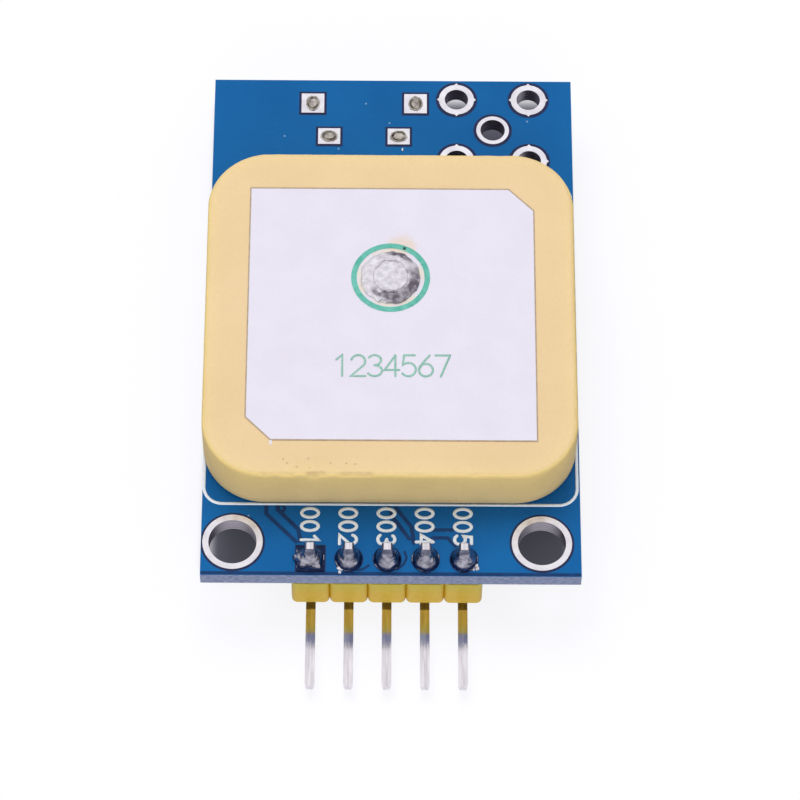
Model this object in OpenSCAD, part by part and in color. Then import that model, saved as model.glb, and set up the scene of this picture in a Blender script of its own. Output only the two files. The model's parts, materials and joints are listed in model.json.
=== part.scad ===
// Satellite positioning module: a circuit board with a ceramic patch antenna on its front face, a pin
// header along one edge, and the receiver, data socket and backup cell on its back face.
// Millimetres. The origin is on the board's back face, midway between the two mounting holes.
// X runs along the header row, Y runs towards the data socket, Z points out of the front face.

/* [Board] */
// Left side of the ceramic block to the left edge of the board
board_spare_left = -0.02; // [-0.1:0.02:3]
// Right side of the ceramic block to the right edge of the board
board_spare_right = 0.22; // [-0.1:0.02:3]
// Length of the board
board_l = 38.9; // [38.5:0.1:46]
// Thickness of the board
board_t = 1.2; // [0.8:0.1:2]
// Front edge of the board to the line of the mounting holes
front_margin = 2.42; // [2.2:0.02:3]
// Thickness of the copper and tin around the holes
plating_t = 0.05; // [0.03:0.01:0.08]
// Thickness of the lining in the round holes, drawn thicker than real plating
lining_t = 0.16; // [0.05:0.01:0.18]

/* [Mounting holes] */
// Left edge of the board to the left mounting hole
hole_side_left = 2.1; // [2.1:0.05:3.5]
// Right edge of the board to the right mounting hole
hole_side_right = 2.6; // [2.1:0.05:3.5]
// Diameter of a mounting hole
mount_hole_d = 3.2; // [2.2:0.1:3.4]
// Diameter of the bare ring around a mounting hole
mount_ring_d = 4; // [3.8:0.1:4.2]

/* [Antenna] */
// Side of the square ceramic block
antenna_w = 25; // [22:0.1:28]
// Thickness of the ceramic block
antenna_t = 4; // [2:0.1:6]
// Radius of the block's upright corners
antenna_corner_r = 4.2; // [1:0.1:5]
// Radius of the block's upper edge
antenna_edge_r = 0.35; // [0.1:0.05:0.8]
// Front edge of the board to the block
antenna_inset = 5.27; // [4.8:0.05:6]
// Side of the adhesive pad under the block
tape_w = 22; // [12:0.5:22]
// Thickness of the adhesive pad
tape_t = 0.15; // [0.1:0.05:1]
// Width of the silver patch
patch_w = 19.35; // [14:0.05:20]
// Length of the silver patch
patch_l = 19.45; // [14:0.1:20]
// Length cut off two opposite corners of the patch
patch_cut = 1.7; // [0.5:0.05:3]
// Thickness of the silver patch
patch_t = 0.03; // [0.02:0.01:0.1]
// Middle of the patch, measured towards the back from the middle of the block
patch_shift = -0.14; // [-0.4:0.02:0.4]
// Middle of the patch, measured to the right from the middle of the block
patch_side = 0.08; // [-0.4:0.02:0.4]

/* [Antenna feed] */
// Feed, measured towards the back from the middle of the block
feed_offset = 2.55; // [1.5:0.05:3]
// Diameter of the feed pin
feed_pin_d = 1; // [0.6:0.05:1.2]
// Diameter of the feed pin's flat head
feed_head_d = 2.4; // [1.8:0.05:3]
// Thickness of the feed pin's head
feed_head_t = 0.3; // [0.15:0.05:0.5]
// Gap around the pin in the ceramic block
feed_clearance = 0.1; // [0.02:0.01:0.2]
// Diameter of the solder collar around the head
feed_solder_d = 4; // [3.2:0.1:4.4]
// Height of the solder collar at the head
feed_collar_h = 0.22; // [0.1:0.02:0.3]
// Fullness of the solder collar: rounded below 1, hollow above
feed_collar_curve = 0.6; // [0.5:0.05:2]
// Outer diameter of the printed ring around the feed
feed_print_d = 5.34; // [5.2:0.02:6.5]
// Width of the printed ring's line
feed_print_w = 0.37; // [0.2:0.01:0.4]
// Thickness of the printed ring
feed_print_t = 0.02; // [0.01:0.01:0.05]
// Diameter of the feed's land on the back face
feed_land_d = 2.6; // [2:0.1:3]
// Length of the feed pin that stands out of the back face
feed_tail = 1; // [0.8:0.1:1.8]
// Height of the solder along the feed pin's tail
feed_fillet_h = 0.7; // [0.4:0.05:0.7]
// Fullness of the solder on the feed pin's tail: rounded below 1, hollow above
feed_fillet_curve = 2; // [0.5:0.05:2]

/* [Header] */
// Number of header pins
pin_count = 5; // [3:1:6]
// Distance from pin to pin
header_pitch = 2.54; // [2:0.02:2.54]
// Front edge of the board to the row of header holes
header_inset = 1.22; // [1.1:0.02:1.5]
// Side of a square pin
pin_w = 0.64; // [0.5:0.02:0.66]
// Diameter of a header hole
header_hole_d = 1; // [0.96:0.02:1.1]
// Diameter of a header land, and side of the square one
header_land_d = 1.8; // [1.5:0.05:1.9]
// Height of a pin's tail above the front face
tail_rise = 2; // [1.2:0.1:3]
// Height of the solder on a tail
header_solder_h = 1.1; // [0.6:0.1:1.1]
// Fullness of the solder on a tail: rounded below 1, hollow above
header_solder_curve = 0.7; // [0.5:0.05:2]
// Thickness of the solder at the top of a fillet
solder_film = 0.03; // [0.02:0.01:0.05]
// Depth of the header block from front to back
block_depth = 2.54; // [2:0.02:2.6]
// Height of the header block
block_h = 2.75; // [2:0.05:4]
// Length along the row that a cell's rounded corner takes
notch_w = 0.4; // [0.3:0.05:0.8]
// Depth of the notch between the rounded corners of two cells
notch_depth = 0.4; // [0.2:0.02:0.6]
// Gap around a pin in the header block
pin_clearance = 0.01; // [0.01:0.01:0.05]
// Length of a pin between the block and its bend
bend_drop = 0.1; // [0.05:0.05:1]
// Radius of the bend at the middle of the pin
bend_r = 0.75; // [0.5:0.05:1.5]
// Angle through which a pin is bent forward
bend_angle = 95; // [75:1:100]
// Straight length of a pin after the bend
pin_reach = 6.6; // [3:0.1:9]
// Length of the taper at a pin's end
tip_taper = 0.25; // [0.2:0.05:0.8]
// Width of a pin's end face
tip_w = 0.45; // [0.15:0.05:0.45]

/* [Coaxial holes] */
// Middle of the hole pattern, measured from the middle of the mounting holes
coax_x = 7.28; // [6.5:0.02:7.6]
// Back edge of the board to the middle of the hole pattern
coax_inset = 4.13; // [4:0.02:4.3]
// Side of the square of corner holes
coax_pitch = 5.08; // [4.8:0.02:5.2]
// Diameter of a corner hole
coax_hole_d = 1.66; // [1.4:0.02:1.8]
// Diameter of the ring around a corner hole
coax_ring_d = 2.48; // [2.2:0.02:2.6]
// Length of the points on a corner ring
coax_point = 0.14; // [0.05:0.01:0.2]
// Diameter of the centre hole
coax_centre_d = 1.72; // [1.2:0.02:1.8]
// Diameter of the ring around the centre hole
coax_centre_ring_d = 2.3; // [2:0.02:2.6]

/* [Data socket] */
// Middle of the socket, measured from the middle of the mounting holes
socket_x = -1.78; // [-2.4:0.02:-1.6]
// Width of the socket's shell
socket_w = 7.5; // [7.2:0.05:7.6]
// Height of the socket's shell
socket_h = 2.5; // [2.3:0.05:3]
// Thickness of the shell's sheet
sheet_t = 0.25; // [0.2:0.01:0.3]
// Length cut off the shell's outer corners
shell_cut = 0.95; // [0.5:0.05:1.1]
// Radius of the shell's corners on the board
shell_corner_r = 0.5; // [0.4:0.05:0.7]
// Length that the mouth's lips reach past the board
mouth_reach = 0.6; // [0.55:0.05:0.75]
// Length of the mouth's flared lips
lip_l = 0.5; // [0.3:0.05:0.5]
// Outward rise of a flared lip
lip_rise = 0.22; // [0.1:0.02:0.3]
// Width of a latch window in the shell's outer wall
window_w = 0.7; // [0.4:0.05:1]
// Length of a latch window
window_l = 1.1; // [0.6:0.05:1.4]
// Distance between the latch windows
window_spacing = 3.3; // [2.6:0.05:3.6]
// Mouth to the latch windows
window_inset = 0.8; // [0.6:0.05:1.2]
// Back edge of the board to the legs beside the mouth
mouth_leg_inset = 1.95; // [1.8:0.05:2.2]
// Back edge of the board to the legs behind the socket
rear_leg_inset = 4.7; // [4.5:0.05:5.2]
// Distance between the legs behind the socket
rear_leg_spacing = 4.89; // [4.8:0.02:5]
// Width of a leg
leg_w = 0.7; // [0.5:0.05:0.75]
// Depth of a leg's end below the front face
leg_short = 0.2; // [0.05:0.05:0.4]
// Width of a leg's slot in the board
slot_w = 0.8; // [0.6:0.02:0.85]
// Length of a leg's slot in the board
slot_l = 1.08; // [1:0.02:1.2]
// Side of the pads beside the mouth
mouth_pad_w = 1.6; // [1.4:0.05:1.7]
// Width of the pads behind the socket
rear_pad_w = 1.55; // [1.4:0.05:1.7]
// Length of the pads behind the socket
rear_pad_l = 1.3; // [1.1:0.05:1.4]
// Depth of the insulator at the rear of the socket
insulator_l = 1.5; // [1.2:0.1:1.8]
// Width of the tongue
tongue_w = 3.8; // [3.6:0.1:4.4]
// Thickness of the tongue
tongue_t = 0.6; // [0.4:0.05:0.7]
// Length of the tongue in front of the insulator
tongue_l = 2.4; // [1.5:0.1:2.6]
// Number of contacts
contact_count = 5; // [3:1:5]
// Distance from contact to contact
contact_pitch = 0.65; // [0.6:0.01:0.7]
// Width of a contact
contact_w = 0.3; // [0.2:0.02:0.36]
// Thickness of a contact
contact_t = 0.12; // [0.08:0.01:0.15]
// Length of a contact's foot behind the shell
contact_foot = 0.8; // [0.5:0.1:1]
// End of the tongue to the end of a contact
contact_setback = 0.35; // [0.2:0.05:0.6]
// Gap between the outer contacts and the shell's floor
contact_gap = 0.15; // [0.1:0.05:0.3]

/* [Receiver] */
// Width of the receiver's board
receiver_w = 16; // [14.4:0.1:16.4]
// Length of the receiver's board
receiver_l = 12.2; // [10:0.1:12.6]
// Thickness of the receiver's board
receiver_t = 0.8; // [0.6:0.05:1]
// Gap between the receiver and the feed's land
receiver_gap = 1.1; // [0.5:0.05:1.3]
// Bare rim of the receiver's board around the shield can
can_rim = 0.8; // [0.6:0.05:1.2]
// Height of the shield can
can_h = 1.5; // [1.2:0.05:1.7]
// Radius of the can's upright corners
can_corner_r = 0.8; // [0.5:0.05:1.2]
// Radius of the can's top edge
can_edge_r = 0.25; // [0.1:0.05:0.4]
// Number of edge contacts on each long side
edge_contact_count = 12; // [6:1:12]
// Distance between edge contacts
edge_contact_pitch = 1.1; // [1:0.05:1.15]
// Width of an edge contact
edge_contact_w = 0.8; // [0.6:0.05:0.85]
// Depth of an edge contact
edge_contact_l = 0.5; // [0.4:0.05:0.55]
// Diameter of the half hole in an edge contact
edge_hole_d = 0.5; // [0.3:0.05:0.5]

/* [Backup cell] */
// Middle of the cell, measured from the middle of the mounting holes
cell_x = -7.2; // [-7.6:0.1:-6.9]
// Middle of the cell, measured towards the back from the feed
cell_ahead = 3.7; // [3.6:0.1:5]
// Diameter of the cell
cell_d = 6.8; // [4.8:0.1:7]
// Height of the cell
cell_h = 1.9; // [1.2:0.1:2.1]
// Width of the cell's raised cap
cell_cap_d = 4.9; // [3.6:0.1:5]
// Height of the cell's raised cap
cell_cap_h = 0.2; // [0.1:0.05:0.3]
// Width of the gasket that shows around the cap
gasket_w = 0.24; // [0.1:0.02:0.4]
// Height of the gasket above the cell's shoulder
gasket_h = 0.08; // [0.04:0.02:0.1]
// Width of a tab
tab_w = 2.4; // [1.5:0.1:3]
// Thickness of a tab
tab_t = 0.15; // [0.1:0.01:0.2]
// Length of a tab beyond the cell
tab_l = 1.8; // [1.2:0.1:2]
// Gap between the cell's side and the bent tab
tab_gap = 0.2; // [0.1:0.05:0.4]

/* [Chips] */
// Middle of the memory chip, measured from the middle of the mounting holes
memory_x = 2.2; // [2:0.1:2.4]
// Middle of the memory chip, measured towards the back from the feed
memory_ahead = 5; // [4.7:0.1:6]
// Width of the memory chip
memory_w = 4.9; // [4.4:0.1:5.2]
// Length of the memory chip
memory_l = 3.9; // [3.4:0.1:4.1]
// Height of the memory chip above the board
memory_h = 1.6; // [1.2:0.1:1.8]
// Number of leads on each side of the memory chip
memory_lead_count = 4; // [2:1:4]
// Distance between the memory chip's leads
memory_lead_pitch = 1.27; // [1.1:0.01:1.27]
// Width of a memory chip's lead
memory_lead_w = 0.42; // [0.3:0.02:0.6]
// Middle of the regulator, measured from the middle of the mounting holes
regulator_x = -9.4; // [-9.8:0.1:-9]
// Back edge of the board to the middle of the regulator
regulator_inset = 3.3; // [3.2:0.1:3.4]
// Width of the regulator
regulator_w = 2.9; // [2.7:0.05:3.1]
// Length of the regulator
regulator_l = 1.6; // [1.4:0.05:1.7]
// Height of the regulator above the board
regulator_h = 1.15; // [0.9:0.05:1.4]
// Distance between the regulator's leads
regulator_lead_pitch = 0.95; // [0.9:0.01:1]
// Width of a regulator's lead
regulator_lead_w = 0.4; // [0.3:0.02:0.5]
// Gap between the diode and the receiver
diode_gap = 1.6; // [0.8:0.1:1.8]
// Middle of the diode, measured towards the back from the middle of the receiver
diode_ahead = 2.4; // [0:0.1:4]
// Length of the diode
diode_l = 2.7; // [2.4:0.1:3]
// Width of the diode
diode_w = 1.6; // [1.3:0.1:1.8]
// Height of the diode above the board
diode_h = 1.1; // [0.8:0.05:1.3]
// Width of a diode's lead
diode_lead_w = 0.6; // [0.4:0.05:0.8]
// Gap under the bodies of the chips
chip_standoff = 0.1; // [0.05:0.01:0.15]
// Thickness of the chips' leads
lead_t = 0.15; // [0.1:0.01:0.2]
// Length of a lead from the body to its end
lead_l = 0.9; // [0.7:0.05:1]
// Length of a lead's foot
lead_foot = 0.45; // [0.3:0.05:0.5]
// Inward slope of the bodies' sides
chip_draft = 0.1; // [0.05:0.01:0.15]
// Depth of the mark at the first lead
mark_depth = 0.05; // [0.02:0.01:0.1]

/* [Small chips] */
// Length of a resistor, capacitor or lamp
chip_l = 1.6; // [1.2:0.1:1.7]
// Width of a resistor, capacitor or lamp
chip_w = 0.8; // [0.5:0.05:0.9]
// Height of a resistor
resistor_h = 0.45; // [0.35:0.05:0.6]
// Height of a capacitor
capacitor_h = 0.8; // [0.5:0.05:1]
// Height of the bias inductor
inductor_h = 0.9; // [0.6:0.05:1]
// Height of a lamp
lamp_h = 0.6; // [0.45:0.05:0.8]
// Length of an end terminal
terminal_l = 0.3; // [0.2:0.02:0.4]
// Height of a lamp's base and terminals
lamp_base_h = 0.3; // [0.2:0.02:0.35]
// Inward slope of a lamp's clear block
lamp_draft = 0.1; // [0.05:0.01:0.2]
// Right edge of the board to the middle of the lamps
lamp_inset = 1.7; // [1.2:0.1:1.8]
// Distance between the two lamps
lamp_pitch = 2.5; // [2:0.1:2.6]
// Distance from a chip to the piece that it serves
chip_gap = 1.2; // [1.1:0.05:1.3]

/* [Miniature coaxial socket] */
// Middle of the socket, measured from the middle of the mounting holes
mini_coax_x = 8.3; // [8.1:0.1:8.6]
// Middle of the socket, measured towards the back from the feed
mini_coax_ahead = 4.9; // [4.6:0.1:6]
// Side of the socket's insulating base
mini_base_w = 2.6; // [2.4:0.05:2.8]
// Thickness of the socket's base
mini_base_t = 0.35; // [0.25:0.05:0.5]
// Diameter of the socket's ring
mini_ring_d = 2; // [1.8:0.05:2.1]
// Height of the socket's ring above the base
mini_ring_h = 0.9; // [0.7:0.05:1.1]
// Wall of the socket's ring
mini_ring_wall = 0.18; // [0.12:0.02:0.25]
// Depth of the snap groove around the ring
mini_groove = 0.06; // [0.02:0.01:0.08]
// Height of the snap groove above the base
mini_groove_z = 0.4; // [0.3:0.02:0.5]
// Diameter of the socket's centre contact
mini_pin_d = 0.5; // [0.4:0.02:0.6]
// Height of the centre contact above the base
mini_pin_h = 0.7; // [0.5:0.05:0.9]
// Thickness of the socket's feet
mini_foot_t = 0.15; // [0.1:0.01:0.18]
// Width of the socket's feet
mini_foot_w = 1.8; // [1.4:0.1:2]
// Length of the socket's signal foot beyond the base
mini_foot_l = 0.45; // [0.3:0.05:0.5]

/* [Hidden] */
$fn = 48;
// How far a cutter runs past the face that it opens
overcut = 0.5;
// Steps in a curved profile
curve_steps = 6;
// Corner fineness of the blocks with rounded edges
block_fn = 48;

front_y = -front_margin;
back_y = front_y + board_l;
board_w = antenna_w + board_spare_left + board_spare_right;
mount_spacing = board_w - hole_side_left - hole_side_right;
left_x = -mount_spacing / 2 - hole_side_left;
right_x = left_x + board_w;
board_x = (left_x + right_x) / 2;
seat_z = plating_t;

antenna_x = left_x + board_spare_left + antenna_w / 2;
antenna_y = front_y + antenna_inset + antenna_w / 2;
antenna_z = board_t + tape_t;
patch_z = antenna_z + antenna_t;
feed_z = patch_z + patch_t;
feed_y = antenna_y + feed_offset;
feed_bore_d = feed_pin_d + 2 * feed_clearance;
feed_hole_d = feed_bore_d + 2 * feed_clearance;

header_y = front_y + header_inset;
header_first_x = -(pin_count - 1) * header_pitch / 2;
block_w = pin_count * header_pitch;
block_z = -plating_t - block_h;
bend_z = block_z - bend_drop;
pin_hole_w = pin_w + 2 * pin_clearance;

coax_y = back_y - coax_inset;
coax_places = [
    for (sy = [1, -1], sx = [-1, 1]) [coax_x + sx * coax_pitch / 2, coax_y + sy * coax_pitch / 2]
];

mouth_y = back_y + mouth_reach - lip_l;
rear_wall_y = back_y - rear_leg_inset - sheet_t / 2;
insulator_y = rear_wall_y + sheet_t;
tongue_z = socket_h / 2;
rear_wall_z = tongue_z - tongue_t / 2;
contact_gap_w = (contact_count - 1) * contact_pitch + contact_w + 2 * contact_gap;
mouth_leg_dx = (socket_w - sheet_t) / 2;
leg_end_z = board_t - leg_short;
// Each leg's place and whether it stands beside the mouth
leg_places = [
    for (mouth = [true, false], side = [-1, 1])
        [socket_x + side * (mouth ? mouth_leg_dx : rear_leg_spacing / 2),
         back_y - (mouth ? mouth_leg_inset : rear_leg_inset), mouth]
];

receiver_y = feed_y - feed_land_d / 2 - receiver_gap - receiver_l / 2;
can_w = receiver_w - 2 * can_rim;
can_l = receiver_l - 2 * can_rim;

regulator_y = back_y - regulator_inset;
diode_x = board_x - receiver_w / 2 - diode_gap - diode_w / 2;
diode_y = receiver_y + diode_ahead;
cell_y = feed_y + cell_ahead;
memory_y = feed_y + memory_ahead;
mini_coax_y = feed_y + mini_coax_ahead;
lamp_x = right_x - lamp_inset;
lamp_y = receiver_y + receiver_l / 2 + chip_w + chip_gap;
lamp_places = [for (k = [0, 1]) [lamp_x, lamp_y + k * lamp_pitch, 0]];
lamp_resistor_x = lamp_x - chip_l - chip_gap / 2;
memory_chip_x = memory_x + memory_w / 2 + chip_gap / 2 + chip_w / 2;
resistor_places = concat(
    [for (k = [0, 1]) [lamp_resistor_x, lamp_y + k * lamp_pitch, 0]],
    [for (side = [-1, 1]) [memory_chip_x, memory_y + side * (chip_l + chip_gap) / 2, 90]]
);
regulator_chip_dy = regulator_l / 2 + lead_l + chip_w / 2 + chip_gap / 4;
receiver_chip_x = board_x + receiver_w / 2 + chip_w / 2 + chip_gap;
capacitor_places = concat(
    [for (side = [-1, 1]) [regulator_x, regulator_y + side * regulator_chip_dy, 0]],
    [for (k = [-1, 0, 1]) [receiver_chip_x, receiver_y + k * receiver_l / 4, 90]],
    [[antenna_x - feed_land_d / 2 - chip_w / 2 - chip_gap, feed_y, 90]]
);
inductor_place = [antenna_x + feed_land_d / 2 + chip_w / 2 + chip_gap, feed_y, 90];

pin_names = [for (i = [1:pin_count]) str("header_pin_", i)];
joint_names = [for (i = [1:pin_count]) str("header_solder_", i)];
ring_names = [for (i = [1:len(coax_places)]) str("coax_ring_", i)];
pad_names = [for (i = [1:len(leg_places)]) str("leg_pad_", i)];

// Shared shapes

// Places a piece on the board's back face, its own Z pointing away from the board
module on_back(place, turn = 0) {
    translate([place[0], place[1], 0])
        mirror([0, 0, 1])
            rotate(turn)
                children();
}

// Rectangle with round corners, centred
module rounded_plan(w, l, r) {
    square([w - 2 * r, l], center = true);
    square([w, l - 2 * r], center = true);
    for (sx = [-1, 1], sy = [-1, 1])
        translate([sx * (w / 2 - r), sy * (l / 2 - r)])
            circle(r);
}

// Slot with round ends along X, centred
module slot_plan(l, w) {
    square([l - w, w], center = true);
    for (side = [-1, 1])
        translate([side * (l - w) / 2, 0])
            circle(d = w);
}

// Block with round upright corners and a rounded upper edge
module soft_block(w, l, h, corner_r, edge_r) {
    rim = [for (k = [0:curve_steps]) edge_r * [cos(90 * k / curve_steps), sin(90 * k / curve_steps)]];
    profile = concat(
        [[0, 0], [corner_r, 0]],
        [for (p = rim) [corner_r - edge_r + p[0], h - edge_r + p[1]]],
        [[0, h]]
    );
    hull()
        for (sx = [-1, 1], sy = [-1, 1])
            translate([sx * (w / 2 - corner_r), sy * (l / 2 - corner_r), 0])
                rotate_extrude($fn = block_fn)
                    polygon(profile);
}

// Solder around an upright wire: a curve of that fullness from a foot radius up to the wire
module solder_fillet(foot_r, wire_r, h, fullness) {
    curve = [
        for (k = [0:curve_steps])
            let (s = k / curve_steps) [wire_r + (foot_r - wire_r) * pow(1 - s, fullness), h * s]
    ];
    rotate_extrude()
        polygon(concat([[0, 0]], curve, [[0, h]]));
}

// Tin lining of a round hole with a land on the back face, and one on the front face
module plated_hole(hole_d, land_d, front_land = true) {
    difference() {
        union() {
            translate([0, 0, -plating_t])
                cylinder(d = land_d, h = plating_t);
            cylinder(d = hole_d + 2 * lining_t, h = board_t);
            if (front_land)
                translate([0, 0, board_t])
                    cylinder(d = land_d, h = plating_t);
        }
        translate([0, 0, -plating_t - overcut])
            cylinder(d = hole_d, h = board_t + 2 * plating_t + 2 * overcut);
    }
}

// Cutter for the plated hole in the board
module plated_hole_cut(hole_d) {
    translate([0, 0, -overcut])
        cylinder(d = hole_d + 2 * lining_t, h = board_t + 2 * overcut);
}

// Square wire along Z from 0 to l, tapered at its upper end
module tapered_wire(l) {
    outline = [
        [-pin_w / 2, 0], [pin_w / 2, 0], [pin_w / 2, l - tip_taper],
        [tip_w / 2, l], [-tip_w / 2, l], [-pin_w / 2, l - tip_taper]
    ];
    intersection() {
        rotate([90, 0, 0])
            linear_extrude(pin_w, center = true)
                polygon(outline);
        rotate([90, 0, 90])
            linear_extrude(pin_w, center = true)
                polygon(outline);
    }
}

// Gull wing lead that leaves a body at Y = 0 at half the body's height and ends on the board
module gull_lead(w, top_z) {
    toe = lead_l;
    heel = lead_l - lead_foot;
    rotate([90, 0, 90])
        linear_extrude(w, center = true)
            polygon([
                [0, top_z], [heel, top_z], [heel + lead_t, lead_t], [toe, lead_t],
                [toe, 0], [heel, 0], [heel - lead_t, top_z - lead_t], [0, top_z - lead_t]
            ]);
}

// Moulded chip body with sloping sides and a first lead mark, standing off the board
module chip_body(w, l, h, mark_d) {
    waist = (h + chip_standoff) / 2;
    section = function (side) [
        [-side / 2 + chip_draft, chip_standoff], [side / 2 - chip_draft, chip_standoff], [side / 2, waist],
        [side / 2 - chip_draft, h], [-side / 2 + chip_draft, h], [-side / 2, waist]
    ];
    difference() {
        intersection() {
            rotate([90, 0, 0])
                linear_extrude(l, center = true)
                    polygon(section(w));
            rotate([90, 0, 90])
                linear_extrude(w, center = true)
                    polygon(section(l));
        }
        if (mark_d > 0)
            translate([-w / 2 + chip_draft + mark_d, -l / 2 + chip_draft + mark_d, h - mark_depth])
                cylinder(d = mark_d, h = overcut);
    }
}

// Body of a small chip between its end terminals, along X
module small_body(h) {
    translate([-chip_l / 2 + terminal_l, -chip_w / 2, 0])
        cube([chip_l - 2 * terminal_l, chip_w, h]);
}

// The two end terminals of a small chip, along X
module small_terminals(h) {
    for (side = [-1, 1])
        translate([side * (chip_l - terminal_l) / 2, 0, h / 2])
            cube([terminal_l, chip_w, h], center = true);
}

// Board

module circuit_board() {
    color("#2167A8")
        difference() {
            translate([left_x, front_y, 0])
                cube([board_w, board_l, board_t]);
            for (side = [-1, 1])
                translate([side * mount_spacing / 2, 0, 0])
                    plated_hole_cut(mount_hole_d);
            for (place = coax_places)
                translate(place)
                    plated_hole_cut(coax_hole_d);
            translate([coax_x, coax_y])
                plated_hole_cut(coax_centre_d);
            for (i = [0:pin_count - 1])
                translate([header_first_x + i * header_pitch, header_y])
                    plated_hole_cut(header_hole_d);
            translate([antenna_x, feed_y])
                plated_hole_cut(feed_hole_d);
            for (leg = leg_places)
                translate([leg[0], leg[1], -overcut])
                    linear_extrude(board_t + 2 * overcut)
                        leg_slot_plan(leg[2], plating_t);
        }
}

module mounting_ring(side) {
    color("#D8D4D6")
        translate([side * mount_spacing / 2, 0, 0])
            plated_hole(mount_hole_d, mount_ring_d);
}

// Corner ring with a point towards each side
module coax_ring(place) {
    point_side = (coax_ring_d + 2 * coax_point) / sqrt(2);
    color("#D8D4D6")
        translate(place) {
            plated_hole(coax_hole_d, coax_ring_d);
            for (z = [-plating_t, board_t])
                translate([0, 0, z])
                    linear_extrude(plating_t)
                        difference() {
                            rotate(45)
                                square(point_side, center = true);
                            circle(d = (coax_hole_d + coax_ring_d) / 2);
                        }
        }
}

module coax_centre_ring() {
    color("#D8D4D6")
        translate([coax_x, coax_y])
            plated_hole(coax_centre_d, coax_centre_ring_d);
}

// Round lands, and a square one at the first pin
module header_lands() {
    color("#D8D4D6")
        for (i = [0:pin_count - 1])
            translate([header_first_x + i * header_pitch, header_y]) {
                plated_hole(header_hole_d, header_land_d);
                if (i == 0)
                    for (z = [-plating_t, board_t])
                        translate([0, 0, z])
                            linear_extrude(plating_t)
                                difference() {
                                    square(header_land_d, center = true);
                                    circle(d = (header_hole_d + header_land_d) / 2);
                                }
            }
}

module feed_land() {
    color("#D8D4D6")
        translate([antenna_x, feed_y])
            plated_hole(feed_hole_d, feed_land_d, front_land = false);
}

// Slot of a leg: along Y beside the mouth, along X behind the socket
module leg_slot_plan(mouth, grow) {
    rotate(mouth ? 90 : 0)
        slot_plan(slot_l + 2 * grow, slot_w + 2 * grow);
}

module leg_pad(leg) {
    mouth = leg[2];
    pad = mouth ? [mouth_pad_w, mouth_pad_w] : [rear_pad_w, rear_pad_l];
    color("#D8D4D6")
        translate([leg[0], leg[1]]) {
            linear_extrude(board_t)
                difference() {
                    leg_slot_plan(mouth, plating_t);
                    leg_slot_plan(mouth, 0);
                }
            for (z = [-plating_t, board_t])
                translate([0, 0, z])
                    linear_extrude(plating_t)
                        difference() {
                            square(pad, center = true);
                            leg_slot_plan(mouth, 0);
                        }
        }
}

// Antenna

module antenna_ceramic() {
    color("#ECD09B")
        translate([antenna_x, antenna_y, antenna_z])
            difference() {
                soft_block(antenna_w, antenna_w, antenna_t, antenna_corner_r, antenna_edge_r);
                translate([0, feed_offset, -overcut])
                    cylinder(d = feed_bore_d, h = antenna_t + 2 * overcut);
            }
}

// Rectangle with its back right and front left corners cut off
module antenna_patch() {
    w = patch_w / 2;
    l = patch_l / 2;
    color("#EAE7F4")
        translate([antenna_x, antenna_y, patch_z])
            linear_extrude(patch_t)
                difference() {
                    translate([patch_side, patch_shift])
                        polygon([
                            [-w + patch_cut, -l], [w, -l], [w, l - patch_cut],
                            [w - patch_cut, l], [-w, l], [-w, -l + patch_cut]
                        ]);
                    translate([0, feed_offset])
                        circle(d = feed_bore_d);
                }
}

module antenna_tape() {
    color("#E4E0D2")
        translate([antenna_x, antenna_y, board_t])
            linear_extrude(tape_t)
                difference() {
                    square(tape_w, center = true);
                    translate([0, feed_offset])
                        circle(d = feed_land_d);
                }
}

// Pin with a flat round head, through the block and the board
module feed_pin() {
    color("#D9D6DC")
        translate([antenna_x, feed_y, 0]) {
            translate([0, 0, feed_z])
                cylinder(d = feed_head_d, h = feed_head_t);
            translate([0, 0, -feed_tail])
                cylinder(d = feed_pin_d, h = feed_tail + feed_z);
        }
}

module feed_solder() {
    color("#C9C6CE")
        translate([antenna_x, feed_y, feed_z])
            difference() {
                solder_fillet(feed_solder_d / 2, feed_head_d / 2, feed_collar_h, feed_collar_curve);
                translate([0, 0, -overcut])
                    cylinder(d = feed_head_d, h = feed_collar_h + 2 * overcut);
            }
}

// Fills the feed's hole and rises along the pin on the back face
module feed_tail_solder() {
    color("#C9C6CE")
        translate([antenna_x, feed_y, 0])
            difference() {
                union() {
                    translate([0, 0, -plating_t])
                        cylinder(d = feed_hole_d, h = board_t + plating_t);
                    translate([0, 0, -plating_t])
                        mirror([0, 0, 1])
                            solder_fillet(feed_land_d / 2, feed_pin_d / 2 + solder_film, feed_fillet_h,
                                          feed_fillet_curve);
                }
                translate([0, 0, -feed_tail - overcut])
                    cylinder(d = feed_pin_d, h = feed_tail + board_t + 2 * overcut);
            }
}

module feed_print() {
    color("#5AB8A5")
        translate([antenna_x, feed_y, feed_z])
            difference() {
                cylinder(d = feed_print_d, h = feed_print_t);
                translate([0, 0, -overcut])
                    cylinder(d = feed_print_d - 2 * feed_print_w, h = feed_print_t + 2 * overcut);
            }
}

// Header

// Row of cells with rounded corners and a notch between each two, a square hole for each pin
module header_block() {
    half_d = block_depth / 2;
    // Each cell's left corner, then its right one without the last point, where the next cell starts
    front = [
        for (i = [0:pin_count - 1], right = [0, 1], k = [0:curve_steps - right])
            let (
                a = 90 * abs(right * curve_steps - k) / curve_steps,
                x = -block_w / 2 + (i + right) * header_pitch
            )
                [x + (1 - 2 * right) * notch_w * (1 - cos(a)), -half_d + notch_depth * (1 - sin(a))]
    ];
    row = concat(front, [[block_w / 2, -half_d + notch_depth]]);
    turned = [for (p = row) -p];
    color("#C8A83C")
        translate([0, header_y, block_z])
            linear_extrude(block_h)
                difference() {
                    polygon(concat(row, turned));
                    for (i = [0:pin_count - 1])
                        translate([header_first_x + i * header_pitch, 0])
                            square(pin_hole_w, center = true);
                }
}

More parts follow.
